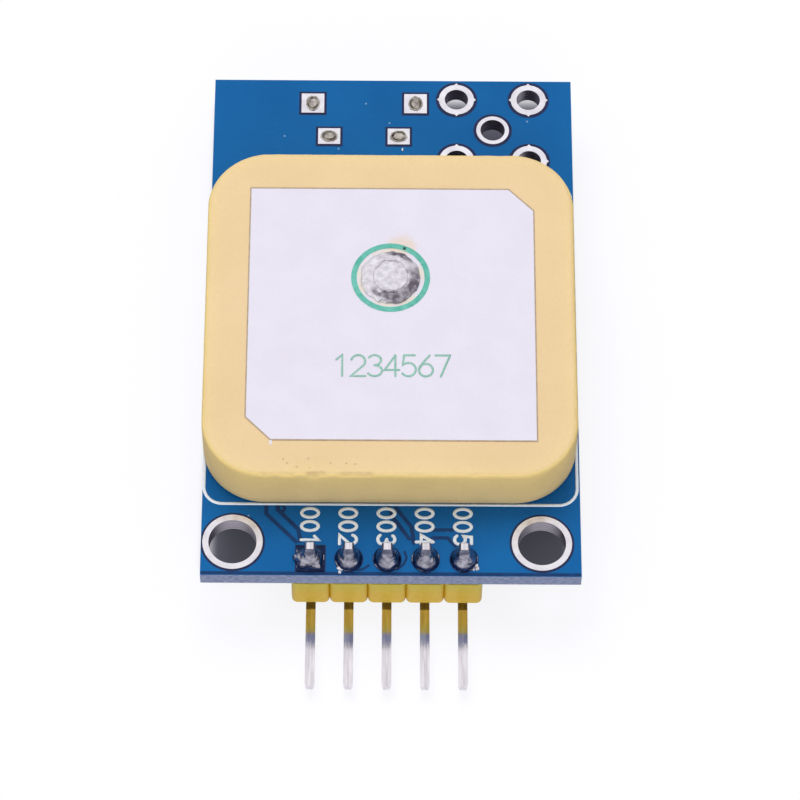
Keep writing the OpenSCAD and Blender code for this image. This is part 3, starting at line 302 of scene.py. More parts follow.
def header_nylon():
    """Yellow glass-filled nylon, moulded in a strip: satin and golden, greener on top as painted shade of the
    board.
    """
    made, tree, shader, place = finish("moulded_yellow_nylon", "#E3BA3A", 0.42, Specular_IOR_Level=0.4)
    high = corners("header_block")[1]
    # Greener towards the top: painted shade of the board's overhanging edge
    rise = add(tree, "MapRange", {"Value": add(tree, "SeparateXYZ", {"Vector": place})["Z"],
                                  "From Min": (high.z - 1.5) * MM, "From Max": (high.z - 0.4) * MM})[0]
    body = add(tree, "Mix", {0: rise, 6: "#EBC43A", 7: "#DDC944"}, data_type="RGBA")[2]
    speck = add(tree, "Math", {0: mottle(tree, place, 0.3), 1: 0.2}, operation="MULTIPLY")[0]
    body = add(tree, "Mix", {0: speck, 6: body, 7: "#B98F26"}, data_type="RGBA")[2]
    bump = add(tree, "Bump", {"Height": mottle(tree, place, 0.25), "Distance": 0.01 * MM})[0]
    wire(tree, shader, Base_Color=body, Normal=bump)
    return made


FINISHES = {
    "board_mask": solder_mask(),
    "tin_plating": levelled_tin(),
    "ceramic": dielectric_ceramic(),
    "silver_print": fired_silver(),
    # Acrylic foam tape: pale and dull
    "adhesive": two_tone("acrylic_foam_tape", "#D9D4C4", "#E8E4D6",
                         rough=0.8, tone=2.4, grain=0.3, depth=0.01),
    # Tin solder of the header and the feed's tail: grey, a little dull, blue black in painted reflection and
    # shade
    "solder": hand_solder("hand_soldered_tin", "#666672", "#BBB9C5", "#25345A"),
    # Tin solder in the socket's slots, cooled slowly: dull, with brown painted shade in its hollows
    "slot_solder": hand_solder("slot_soldered_tin", "#8A837E", "#D3CCC5", "#57514B"),
    # Square brass wire, drawn and bright tinned: nearly a mirror along its flats
    "pin_metal": two_tone("bright_tinned_brass", "#CFC8D0", "#EDE8EE",
                          rough=0.13, tone=0.2, grain=0.25, depth=0.004, metal=1.0, spread=0.03, drawn=30),
    # Green epoxy ink, pad printed on silver: flat and a little starved in places
    "green_print": two_tone("green_pad_print", "#50A998", "#70C1B2",
                            rough=0.55, tone=0.4, grain=0.2, depth=0.004),
    "header_plastic": header_nylon(),
    # Nickel plated steel sheet, stamped and folded: bright with a faint rolled haze
    "shell_sheet": two_tone("stamped_nickel_plate", "#C6C5C8", "#D6D5D8",
                            rough=0.26, tone=0.8, grain=0.3, depth=0.003, metal=1.0, spread=0.04, drawn=6),
    # Liquid crystal polymer, moulded black: dull, with the fine texture of its tool
    "black_plastic": two_tone("moulded_black_polymer", "#1B1B1E", "#2A2A2E",
                              rough=0.5, tone=1.0, grain=0.12, depth=0.008),
    # Gold flash over nickel: soft yellow metal
    "gold_contact": two_tone("gold_flashed_contact", "#C9A556", "#E3C67C",
                             rough=0.24, tone=0.5, grain=0.5, depth=0.004, metal=1.0, spread=0.08),
    # Glass laminate of the receiver under green mask: satin
    "receiver_laminate": two_tone("green_masked_laminate", "#14532F", "#1F6A3E",
                                  rough=0.4, tone=2.4, grain=0.3, depth=0.008),
    # Nickel silver sheet, drawn into a can: warm grey, finely rolled
    "can_sheet": two_tone("drawn_nickel_silver", "#C3C1BC", "#CDCBC6",
                          rough=0.3, tone=1.2, grain=0.3, depth=0.003, metal=1.0, spread=0.03, drawn=8),
    # Nickel plated steel of the cell and its tabs: bright, lightly scuffed
    "cell_steel": two_tone("nickel_plated_steel", "#BFBFC2", "#D6D6DA",
                           rough=0.28, tone=1.6, grain=0.6, depth=0.005, metal=1.0, spread=0.07),
    # Epoxy resin of chip bodies, moulded: dark grey, finely spark eroded
    "chip_plastic": two_tone("moulded_epoxy_resin", "#1F1F21", "#303033",
                             rough=0.58, tone=0.64, grain=0.08, depth=0.008),
    # Clear epoxy cast over a white base: pale and glossy
    "lamp_resin": two_tone("clear_lamp_epoxy", "#DCCFB4", "#F0E6D0",
                           rough=0.2, tone=0.8, grain=0.3, depth=0.004),
    # Barium titanate of chip capacitors, fired: brown and dull
    "capacitor_ceramic": two_tone("fired_brown_ceramic", "#8E6F4C", "#B08F66",
                                  rough=0.55, tone=0.8, grain=0.1, depth=0.006),
    # Sintered ferrite: dark grey and dull
    "inductor_ferrite": two_tone("sintered_ferrite", "#3A3A3F", "#54545A",
                                 rough=0.6, tone=0.8, grain=0.1, depth=0.01),
    # Pale polymer of the small coaxial socket, moulded: satin ivory
    "base_plastic": two_tone("moulded_ivory_polymer", "#D8D1BE", "#EBE6D8",
                             rough=0.5, tone=1.2, grain=0.15, depth=0.008),
}
# White epoxy ink, screen printed: flat, with a slightly uneven film
WHITE_INK = two_tone("white_screen_ink", "#E8F2FF", "#F6FAFF",
                     rough=0.6, tone=0.25, grain=0.15, depth=0.01)
# The antenna's number, printed thin in the same green ink: paler, with silver showing through
NUMBER_INK = two_tone("pale_green_pad_print", "#86BAA9", "#9CC9BB",
                      rough=0.55, tone=0.4, grain=0.2, depth=0.004)
# Silver paste bled out thin over ceramic in firing: tan
SILVER_EDGE = two_tone("silver_paste_edge", "#B29F8B", "#CBB9A5",
                       rough=0.55, tone=0.5, grain=0.3, depth=0.003, metal=1.0, spread=0.05)
# Laminate in a gap of mask and copper: dark weave under clear resin
BARE_GAP = two_tone("bare_glass_laminate", "#141D40", "#202B55",
                    rough=0.4, tone=0.4, grain=0.3, depth=0.004, Specular_IOR_Level=0.25)
# Mask straight on laminate beside a track: the same blue, much darker for want of copper
TRACK_GAP = two_tone("solder_mask_over_gap", "#082E5A", "#0B3C70",
                     rough=0.36, tone=0.6, grain=0.3, depth=0.004, Specular_IOR_Level=0.22)
# Tin solder of the feed: nearly white and frosty, with broad painted reflection and shade on its flanks
FEED_SOLDER = hand_solder("hand_soldered_feed", "#CBC6D0", "#EFEBF3", "#6B6470", blotch=0.5)
# Rosin flux, burnt to a bead: brown black and glossy
BURNT_FLUX = two_tone("burnt_rosin_flux", "#1D2A22", "#2B3A30",
                      rough=0.25, tone=0.2, grain=0.2, depth=0.004)

for part in frame["record"]["subparts"]:
    slots = frame["nodes"][part["node"]].data.materials
    slots.clear()
    slots.append(FINISHES[part["material_slot"]])


# Mesh pieces, written in millimetres in the model's own frame

def piece(name, points, faces, material, slot, replaced=(), smooth=True):
    """A closed mesh piece that moves with the part and takes the place of the named nodes."""
    mesh = bpy.data.meshes.new(name)
    mesh.from_pydata([Vector(p) * MM for p in points], [], faces)
    shape = bmesh.new()
    shape.from_mesh(mesh)
    bmesh.ops.recalc_face_normals(shape, faces=shape.faces)
    shape.to_mesh(mesh)
    shape.free()
    if smooth:
        mesh.shade_smooth()
    else:
        mesh.shade_flat()
    mesh.materials.append(material)
    made = bpy.data.objects.new(name, mesh)
    bpy.context.scene.collection.objects.link(made)
    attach(made, "root")
    if replaced:
        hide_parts(*replaced)
    return made


def tint(made, name, values):
    """Stores one number at each point of a piece, for its material to read."""
    layer = made.data.attributes.new(name, "FLOAT", "POINT")
    layer.data.foreach_set("value", values)


def ramp(value, start, end):
    """0 before start, 1 after end, straight between."""
    return min(1.0, max(0.0, (value - start) / (end - start)))


def joined(parts):
    """One list of points and one of faces from several pairs."""
    points, faces = [], []
    for some, theirs in parts:
        start = len(points)
        points += some
        faces += [[start + k for k in face] for face in theirs]
    return points, faces


def rings(loops, closed=False):
    """Points and quads of a skin over loops of equal count; open ends get a face each."""
    count = len(loops[0])
    points = [p for loop in loops for p in loop]
    pairs = [(k, k + 1) for k in range(len(loops) - 1)] + ([(len(loops) - 1, 0)] if closed else [])
    faces = [[a * count + i, a * count + (i + 1) % count, b * count + (i + 1) % count, b * count + i]
             for a, b in pairs for i in range(count)]
    if not closed:
        faces.append(list(reversed(range(count))))
        faces.append([(len(loops) - 1) * count + i for i in range(count)])
    return points, faces


def arc(x, y, rx, ry, start, end, steps):
    """Points on an ellipse between two angles in degrees."""
    turns = [math.radians(start + (end - start) * k / steps) for k in range(steps + 1)]
    return [(x + rx * math.cos(t), y + ry * math.sin(t)) for t in turns]


def line_film(path, width, floor, height, closed=False):
    """Thin film of that width along a flat path, with round ends if open."""
    way = [Vector(p) for p in path]
    last = len(way) - 1
    stations = []
    for k, here in enumerate(way):
        before = way[k - 1] if k or closed else None
        after = way[(k + 1) % len(way)] if k < last or closed else None
        legs = [leg.normalized() for leg in
                ([here - before] if before else []) + ([after - here] if after else [])]
        along = sum(legs, Vector((0, 0))).normalized()
        side = Vector((-along.y, along.x))
        spread = 1 / max(0.5, along.dot(legs[0]))
        stations.append((here, side, width / 2 * spread))
    if not closed:
        # Steps of a round end: how far out, and how wide there
        caps = [(0.2, 0.98), (0.6, 0.8), (0.9, 0.44), (0.99, 0.14)]
        ends = []
        for here, side, half in (stations[0], stations[-1]):
            along = Vector((side.y, -side.x))
            ends.append([(along * half * out, side, half * wide, here) for out, wide in caps])
        stations = ([(here - step, side, half) for step, side, half, here in reversed(ends[0])] + stations
                    + [(here + step, side, half) for step, side, half, here in ends[1]])
    loops = []
    for here, side, half in stations:
        left, right = here + side * half, here - side * half
        loops.append([(left.x, left.y, floor), (right.x, right.y, floor),
                      (right.x, right.y, floor + height), (left.x, left.y, floor + height)])
    return rings(loops, closed)


def flat_ring(centre, inner, outer, floor, height, steps=72):
    """Flat ring of that height around a point, cut off just inside the board's left edge."""
    left = BOARD_LOW.x + 0.01
    loops = []
    for r, z in ((inner, 0), (inner, height), (outer, height), (outer, 0)):
        loops.append([(max(x, left), y, floor + z)
                      for x, y in arc(centre.x, centre.y, r, r, 0, 360, steps)[:-1]])
    return rings(loops, closed=True)


# Printed lines, numbers and gaps on the board

INK_FILM = 0.02
GAP_FILM = 0.006
# Films that cross lie one step higher than each other
FILM_STEP = 0.003

# Plain figures as pen strokes in a box 0.6 wide and 1 high; a stroke with this many points is closed
ROUND = 24
FIGURES = {
    "0": [arc(0.3, 0.5, 0.3, 0.5, 90, 450, ROUND)[:-1]],
    "1": [[(0.1, 0.78), (0.34, 1.0), (0.34, 0.0)]],
    "2": [arc(0.3, 0.7, 0.29, 0.3, 165, -35, 10) + [(0.0, 0.0), (0.6, 0.0)]],
    "3": [arc(0.28, 0.76, 0.27, 0.24, 150, -90, 12), arc(0.28, 0.26, 0.31, 0.26, 90, -150, 12)],
    "4": [[(0.44, 0.0), (0.44, 1.0)], [(0.44, 1.0), (0.0, 0.3), (0.6, 0.3)]],
    "5": [[(0.54, 1.0), (0.1, 1.0), (0.05, 0.55)] + arc(0.28, 0.32, 0.31, 0.32, 110, -145, 12)],
    "6": [[(0.46, 1.0), (0.18, 0.66), (0.03, 0.36)], arc(0.3, 0.3, 0.29, 0.3, 0, 360, ROUND)[:-1]],
    "7": [[(0.0, 1.0), (0.6, 1.0), (0.22, 0.0)]],
}


def figures(text, start, along, height, pitch, pen, floor):
    """Films of a number: start is the foot of its first figure, along its reading direction."""
    along = Vector(along).normalized()
    up = Vector((-along.y, along.x))
    films = []
    for k, sign in enumerate(text):
        for n, stroke in enumerate(FIGURES[sign]):
            path = [Vector(start) + along * (k * pitch + x * height) + up * (y * height) for x, y in stroke]
            films.append(line_film(path, pen, floor, INK_FILM + n * FILM_STEP, closed=len(stroke) == ROUND))
    return films


def outline_print():
    """White outline printed around the antenna."""
    left, right, front, back = -12.26, 12.67, 2.84, 27.95
    bend, steps, pen = 1.25, 8, 0.2
    turns = [(right - bend, back - bend, 0), (left + bend, back - bend, 90),
             (left + bend, front + bend, 180), (right - bend, front + bend, 270)]
    path = [p for x, y, start in turns for p in arc(x, y, bend, bend, start, start + 90, steps)]
    film = line_film(path, pen, FRONT, INK_FILM, closed=True)
    piece("antenna_outline_print", *film, WHITE_INK, "board_mask")


def pin_numbers():
    """Plain numbers beside the pins, read towards the front edge."""
    height, pitch, pen = 1.12, 0.98, 0.22
    beside, start = 0.62, 2.52
    films = []
    for n, pin in enumerate(PINS, 1):
        films += figures(f"00{n}", (pin.x - beside, start), (0, -1), height, pitch, pen, FRONT)
    piece("pin_numbers_print", *joined(films), WHITE_INK, "board_mask")


def antenna_number():
    """A plain row of figures on the patch."""
    start, height, pitch, pen = (-3.62, 10.3), 1.6, 1.13, 0.14
    films = figures("1234567", start, (1, 0), height, pitch, pen, PATCH_HIGH.z)
    piece("antenna_number_print", *joined(films), NUMBER_INK, "green_print")


def patch_edge():
    """Thin tan edge where the silver paste bled out in firing, and a spur of it at the front cut."""
    low, high, cut = PATCH_LOW, PATCH_HIGH, PATCH_CUT
    path = [(low.x, high.y), (low.x, low.y + cut), (low.x + cut, low.y), (high.x, low.y),
            (high.x, high.y - cut), (high.x - cut, high.y)]
    depth = high.z - BLOCK_HIGH.z
    # The edge lies this much above the patch and the spur this much below it
    step, bleed, spur_width = 0.004, 0.09, 0.16
    edge = line_film(path, bleed, BLOCK_HIGH.z, depth + step, closed=True)
    piece("patch_bleed_edge", *edge, SILVER_EDGE, "silver_print", smooth=False)
    path = [(low.x + cut, low.y + 0.1), (low.x + cut + 0.03, low.y - 0.3)]
    spur = line_film(path, spur_width, BLOCK_HIGH.z, depth - step)
    piece("patch_spur", *spur, FINISHES["silver_print"], "silver_print", smooth=False)


def land_gaps():
    """Dark gaps in the mask around every land on the front face."""
    # Round lands: centre, and the gap's inner and outer radius
    rims = [(pin, 0.8, 0.96) for pin in PINS[1:]]
    rims += [(middle(f"coax_ring_{n}"), 1.2, 1.46) for n in range(1, 5)]
    rims.append((middle("coax_centre_ring"), 1.1, 1.36))
    rims += [(middle(f"mounting_ring_{n}"), 1.9, 2.15) for n in (1, 2)]
    gaps = [flat_ring(centre, inner, outer, FRONT, GAP_FILM) for centre, inner, outer in rims]
    # Square lands: centre, half width and half depth
    frames = [(PINS[0], 0.84, 0.84)]
    for n in range(1, 5):
        low, high = corners(f"leg_pad_{n}")
        frames.append(((low + high) / 2, (high.x - low.x) / 2, (high.y - low.y) / 2))
    outside, width = 0.07, 0.2
    signs = ((1, 1), (-1, 1), (-1, -1), (1, -1))
    for centre, wide, deep in frames:
        wide, deep = wide + outside, deep + outside
        path = [(centre.x + sx * wide, centre.y + sy * deep) for sx, sy in signs]
        gaps.append(line_film(path, width, FRONT, GAP_FILM, closed=True))
    piece("land_gaps", *joined(gaps), BARE_GAP, "board_mask", smooth=False)


def track_gaps():
    """Dark lines where the copper is parted between tracks, and where it stops short of the front edge."""
    # Path and width of each line
    lines = [
        ([(-8.1, 4.2), (-8.05, 2.1), (-6.05, 0.05)], 0.28),
        ([(-7.3, 4.0), (-7.28, 2.4), (-5.9, 0.95), (-5.75, 0.1)], 0.28),
        ([(0.5, 4.0), (0.6, 2.55), (1.62, 1.15), (1.75, 0.0)], 0.27),
        ([(-0.1, 3.6), (0.3, 2.0), (1.45, 0.3)], 0.27),
        ([(3.0, 0.97), (4.35, 0.98)], 0.25),
        ([(3.0, 0.38), (4.0, 0.39), (4.5, -0.2)], 0.25),
        ([(-1.95, -2.02), (-1.6, -1.95), (-1.22, -1.68)], 0.18),
        ([(0.66, -1.95), (1.1, -1.55), (1.28, -1.1), (1.16, -0.66)], 0.18),
        ([(-12.2, -2.27), (12.7, -2.27)], 0.24),
    ]
    films = [line_film(path, width, FRONT, GAP_FILM / 2 + k % 2 * FILM_STEP)
             for k, (path, width) in enumerate(lines)]
    via, inner, outer = Vector((-7.1, 2.52, 0)), 0.16, 0.36
    films.append(flat_ring(via, inner, outer, FRONT, GAP_FILM / 2 + 2 * FILM_STEP, steps=32))
    piece("track_gaps", *joined(films), TRACK_GAP, "board_mask", smooth=False)


# Antenna

def rounded_square(half, bend, count):
    """Points and outward directions around a square with round corners, evenly spaced."""
    side, turn = 2 * (half - bend), math.pi * bend / 2
    spots = []
    for k in range(count):
        way = k / count * 4 * (side + turn)
        quarter, way = divmod(way, side + turn)
        if way < side:
            spot, out = Vector((half, way - side / 2)), Vector((1, 0))
        else:
            lean = (way - side) / bend
            out = Vector((math.cos(lean), math.sin(lean)))
            spot = Vector((half - bend, half - bend)) + out * bend
        rotation = Matrix.Rotation(quarter * math.pi / 2, 2)
        spots.append((rotation @ spot, rotation @ out))
    return spots


def ceramic_block():
    """Fired block: worn upper edge with small flat chips, level faces and the feed's bore."""
    count, bend, edge, foot, bore = 720, 4.2, BLOCK_EDGE, 0.12, 0.6
    # General wear along the edge: its depth, how far in it reaches, and how uneven the level top is
    wear, wear_reach, uneven = 0.012, 0.7, 0.006
    centre = (BLOCK_LOW + BLOCK_HIGH) / 2
    half = (BLOCK_HIGH.x - BLOCK_LOW.x) / 2
    low, high = BLOCK_LOW.z, BLOCK_HIGH.z
    outline = rounded_square(half, bend, count)
    # Chips on the upper edge: place, half length along the edge, depth
    front, right = centre.y - half, centre.x + half
    chips = [((-8.1, front), 0.7, 0.06), ((-6.6, front), 0.6, 0.07), ((-4.7, front), 0.8, 0.17),
             ((-2.1, front), 1.5, 0.11), ((1.9, front), 0.7, 0.04), ((5.8, front), 0.5, 0.05),
             ((right, 7.6), 0.45, 0.05)]
    # Both faces together lie this far away in the middle of the rounded edge
    edge_reach = edge * (2 - math.sqrt(2))
    # Levels of the skin from the foot up and in over the top: how far in from the outline, and how high
    levels = [(foot, low), (0.0, low + foot)]
    levels += [(0.0, low + foot + (high - edge - low - foot) * k / 6) for k in range(1, 7)]
    for k in range(1, 8):
        lean = math.radians(90 * k / 7)
        levels.append((edge * (1 - math.cos(lean)), high - edge + edge * math.sin(lean)))
    levels += [(edge + step, high) for step in (0.08, 0.16, 0.3, 0.5, 0.9, 1.4, 2.0)]
    loops, walls, chipped = [], [], []
    for inset, z in levels:
        loop = []
        for spot, out in outline:
            flat = Vector((centre.x, centre.y)) + spot - out * inset
            here = Vector((flat.x, flat.y, z))
            reach = 0.0
            for (x, y), length, depth in chips:
                away = flat - Vector((x, y))
                along = abs(away.dot(Vector((-out.y, out.x)))) / length
                if along < 1 and away.length < length + 1:
                    ragged = 0.8 + 0.5 * noise.noise(Vector((flat.x * 3, flat.y * 3, 0)))
                    reach = max(reach, edge_reach + depth * min(1, 2.5 * (1 - along)) * ragged)
            worn = max(0.0, reach - inset - (high - z)) / 2
            chipped.append(ramp(worn, 0.015, 0.06))
            if inset < wear_reach and z > high - edge - 0.01:
                worn += wear * (0.5 + noise.noise(here * 1.6)) * (1 - inset / wear_reach)
            here += Vector((-out.x, -out.y, -1)) * worn
            here.z += uneven * noise.noise(here * 1.7) if z == high else 0.0
            loop.append(here)
        loops.append(loop)
        # The walls' golden tone, a painted highlight where it is brightest on the rounded edge, fades out
        # over the top
        walls.append(max(0.0, 0.3 - inset / 4) if z > high - 0.05 else 1.0)
    hub = Vector((FEED.x, FEED.y))
    aims = [(Vector((centre.x, centre.y)) + spot - hub).normalized() for spot, out in outline]
    inner = loops[-1]
    for share in (0.3, 0.65):
        loops.append([Vector((p.x + (hub.x - p.x) * share, p.y + (hub.y - p.y) * share, high))
                      for p in inner])
    for z in (high, low):
        loops.append([Vector((hub.x + aim.x * bore, hub.y + aim.y * bore, z)) for aim in aims])
    walls += [0.0] * (len(loops) - len(walls))
    skin = rings(loops, closed=True)
    made = piece("ceramic_block", *skin, FINISHES["ceramic"], "ceramic", ["antenna_ceramic"])
    tint(made, "wall", [w for w in walls for k in range(count)])
    tint(made, "chipped", chipped + [0.0] * (len(made.data.vertices) - len(chipped)))


# Solder

def turned_blob(centre, profile, floor, seed, bump, grain, count=56, spikes=(), stretch=(1, 1)):
    """Solder turned from (radius, height) pairs, wrinkled by noise above its foot, with spikes at (degrees,
    reach, width) that stand out there and sink away towards its top."""
    steps = 3
    pairs = list(zip(profile, profile[1:]))
    fine = [(a + (b - a) * k / steps, c + (d - c) * k / steps)
            for (a, c), (b, d) in pairs for k in range(steps)]
    loops = []
    for r, z in fine + [profile[-1]]:
        loop = []
        for k in range(count):
            turn = 2 * math.pi * k / count
            out = r
            for at, reach, width in spikes if z > 0.1 else ():
                off = abs((math.degrees(turn) - at + 180) % 360 - 180)
                out *= 1 + reach * (1 - ramp(z, 0.2, 0.9)) * (1 - ramp(off, 0, width)) ** 1.2
            spot = Vector((out * math.cos(turn), out * math.sin(turn), z))
            wave = noise.fractal(spot * grain + Vector((seed * 7.3, seed * 3.1, 0)), 0.8, 2.2, 3)
            # Calm near the axis and along a pin, and smooth below the foot
            ripple = bump * min(1, r * 3) * (1 - 0.8 * ramp(z, 1.0, 1.4)) * wave if z >= 0 else 0
            lift = Vector((0, 0, ripple * 0.7 if z > 0 else 0))
            spot += Vector((spot.x, spot.y, 0)).normalized() * ripple + lift
            loop.append((centre.x + spot.x * stretch[0], centre.y + spot.y * stretch[1], floor + spot.z))
        loops.append(loop)
    return rings(loops)


def feed_head():
    """Tinned feed pin: a head hammered flat on the patch, and a straight shank with a blunt tail."""
    tail = corners("feed_pin")[0].z - PATCH_HIGH.z
    shank = [(0.42, tail), (0.5, tail + 0.08), (0.5, -0.02)]
    head = [(1.1, 0.0), (1.17, 0.05), (1.17, 0.13), (1.12, 0.21), (1.03, 0.25), (0.8, 0.268), (0.55, 0.264),
            (0.3, 0.268), (0.1, 0.268)]
    blob = turned_blob(FEED, shank + head, PATCH_HIGH.z, seed=4, bump=0.025, grain=1.5, count=120)
    piece("feed_head", *blob, FEED_SOLDER, "pin_metal", ["feed_pin"])


def feed_joint():
    """Pool of solder around the pin's head on the patch, with painted reflection and shade along its right
    and front flanks and in the groove round the head.
    """
    profile = [(2.02, 0.0), (2.0, 0.05), (1.93, 0.11), (1.8, 0.17), (1.62, 0.2), (1.45, 0.2), (1.32, 0.16),
               (1.25, 0.12), (1.14, 0.09), (0.9, 0.08), (0.5, 0.08)]
    blob = turned_blob(FEED, profile, PATCH_HIGH.z, seed=4, bump=0.1, grain=1.5, count=120)
    made = piece("feed_joint", *blob, FEED_SOLDER, "solder", ["feed_solder"])
    # Painted reflection and shade by distance from the feed and by direction in degrees, 0 right and 90 back
    shade_and_reflection = []
    for x, y, z in blob[0]:
        away = Vector((x - FEED.x, y - FEED.y))
        turn = math.degrees(math.atan2(away.y, away.x))
        ragged = 0.3 * noise.fractal(Vector((x, y, 0)) * 2.2, 0.8, 2.2, 3)
        flank = ramp(away.length + ragged, 1.2, 1.4) * ramp(turn, -150, -130) * ramp(-turn, -40, -10)
        rim = ramp(away.length + 0.5 * ragged, 1.55, 1.7) * ramp(turn, 30, 45) * ramp(-turn, -105, -85)
        lip = ramp(away.length, 1.72, 1.85) * ramp(-turn, 85, 105)
        groove = (0.5 * ramp(-abs(away.length + 0.4 * ragged - 1.24), -0.07, -0.02)
                  * ramp(-abs(turn - 50), -130, -60))
        shade_and_reflection.append(max(0.0, 0.9 * flank - lip, 0.95 * rim, groove))
    tint(made, "shade_and_reflection", shade_and_reflection)
    bead = [(0.1, 0.0), (0.1, 0.03), (0.07, 0.06), (0.02, 0.07)]
    place = Vector((FEED.x + 0.93, FEED.y + 2.28))
    drop = turned_blob(place, bead, corners("feed_print")[1].z, seed=2, bump=0.02, grain=6, count=20)
    piece("flux_bead", *drop, BURNT_FLUX, "solder")


def squared(spot, centre, square_land):
    """A point of a round joint, moved out to a square where it climbs the pin or lies low on a square
    land."""
    away = Vector((spot[0] - centre.x, spot[1] - centre.y))
    rise = spot[2] - LAND_TOP
    on_land = square_land and -0.01 < rise < 0.09 and away.length > 0.7
    share = 1.0 if on_land else 0.8 * ramp(rise, 1.0, 1.4)
    away *= 1 + share * (away.length / max(abs(away.x), abs(away.y)) - 1)
    return Vector((centre.x + away.x, centre.y + away.y, spot[2]))


def header_joints():
    """Hand soldered joints around the pin tails, blue black at the foot as painted reflection of the board
    and painted shade, with a painted shadow below the tip; the first is crumpled on its square land, with
    drawn points."""
    # Stretches of the profile, from inside the hole up to the pin's tip
    hole = [(0.4, -1.25), (0.48, -1.2), (0.48, -0.06)]
    foot = [(0.9, 0.0), (0.9, 0.06)]
    dome = [(0.86, 0.15), (0.81, 0.27), (0.75, 0.41), (0.69, 0.56), (0.62, 0.72)]
    crumpled = [(0.8, 0.1), (0.7, 0.2), (0.74, 0.36), (0.7, 0.54), (0.6, 0.72)]
    neck = [(0.56, 0.9), (0.5, 1.06), (0.43, 1.24), (0.38, 1.42), (0.36, 1.6), (0.35, 1.72), (0.31, 1.84),
            (0.26, 1.9)]
    drawn_points = [(178, 0.55, 42), (225, 0.4, 30), (309, 0.5, 34), (120, -0.1, 40), (60, -0.1, 40)]
    for n, pin in enumerate(PINS, 1):
        if n == 1:
            points, faces = turned_blob(pin, hole + foot + crumpled + neck, LAND_TOP, seed=5.5, bump=0.05,
                                        grain=2.6, count=96, spikes=drawn_points)
        else:
            points, faces = turned_blob(pin, hole + foot + dome + neck, LAND_TOP, seed=n, bump=0.04,
                                        grain=1.7, count=72)
        points = [squared(p, pin, n == 1) for p in points]
        made = piece(f"header_joint_{n}", points, faces, FINISHES["solder"], "solder", [f"header_solder_{n}"])
        shade_and_reflection = []
        for x, y, z in points:
            rise = z - LAND_TOP
            ahead = math.degrees(abs(math.atan2(x - pin.x, pin.y - y)))
            if n == 1:
                low = 1 - ramp(rise, 0.12, 0.3)
            else:
                low = 1 - ramp(rise, 0.14, 0.36 + 0.24 * ramp(ahead, 30, 80))
            # Painted reflection of the board and shade at the foot, painted shadow round the base of the tip
            shade_and_reflection.append(max(1.8 * low, 0.6 * ramp(rise, 1.2, 1.5)))
        tint(made, "shade_and_reflection", shade_and_reflection)


def leg_pools():
    """Dull solder pooled over the data socket's legs: a low crown over the leg's end, with a ring of painted
    shade in its groove."""
    crown = [(1.0, 0.0), (0.98, 0.05), (0.88, 0.07), (0.78, 0.03), (0.68, 0.02), (0.58, 0.04), (0.45, 0.08),
             (0.3, 0.11), (0.15, 0.12), (0.05, 0.12)]
    pools, shade_and_reflection = [], []
    for n in range(1, 5):
        low, high = corners(f"leg_pad_{n}")
        centre = (low + high) / 2
        # Two pools are longer from front to back, the other two from side to side
        wide, deep = (0.5, 0.61) if n < 3 else (0.62, 0.46)
        pools.append(turned_blob(centre, crown, high.z, seed=n * 1.7, bump=0.07, grain=1.9, count=48,
                                 stretch=(wide, deep)))
        for x, y, z in pools[-1][0]:
            out = math.hypot((x - centre.x) / wide, (y - centre.y) / deep)
            uneven = 1 + 1.2 * noise.noise(Vector((x, y, n)) * 2.5)
            # Painted shade in a ring over the crown's groove
            shade_and_reflection.append(max(0.0, uneven) * ramp(-abs(out - 0.7), -0.2, -0.06))
    made = piece("leg_pools", *joined(pools), FINISHES["slot_solder"], "slot_solder")
    tint(made, "shade_and_reflection", shade_and_reflection)


def solder_splashes():
    """Stray flecks of solder beside two of the header joints and one of the socket's legs."""
    chance = random.Random(11)
    # Middle of each splash, how many flecks it has and how far they spread
    splashes = ((5.9, -1.66, 5, 0.28), (-3.05, -2.0, 3, 0.14), (0.95, 30.75, 1, 0.05))
    flecks = []
    for x, y, count, spread in splashes:
        for k in range(count):
            spot = Vector((x + chance.uniform(-spread, spread), y + chance.uniform(-spread, spread), 0))
            size = chance.uniform(0.09, 0.17)
            stretch = chance.uniform(0.6, 1.5), chance.uniform(0.6, 1.5)
            profile = [(size, 0.0), (size * 0.9, size * 0.3), (size * 0.55, size * 0.6),
                       (size * 0.15, size * 0.75)]
            flecks.append(turned_blob(spot, profile, FRONT, seed=k + x, bump=size * 0.5, grain=9.0, count=14,
                                      stretch=stretch))
    piece("solder_splashes", *joined(flecks), FINISHES["tin_plating"], "solder")


outline_print()
pin_numbers()
antenna_number()
patch_edge()
land_gaps()
track_gaps()
ceramic_block()
feed_head()
feed_joint()
header_joints()
leg_pools()
solder_splashes()


# Stage: pale floor, white surround, soft studio light and the photograph's viewpoint

def shown(tree):
    """1 for rays that come from the camera or from a reflection or refraction, else 0."""
    path = add(tree, "LightPath")
    seen = add(tree, "Math", {0: path["Is Camera Ray"], 1: path["Is Glossy Ray"]}, operation="MAXIMUM")[0]
    return add(tree, "Math", {0: seen, 1: path["Is Transmission Ray"]}, operation="MAXIMUM")[0]


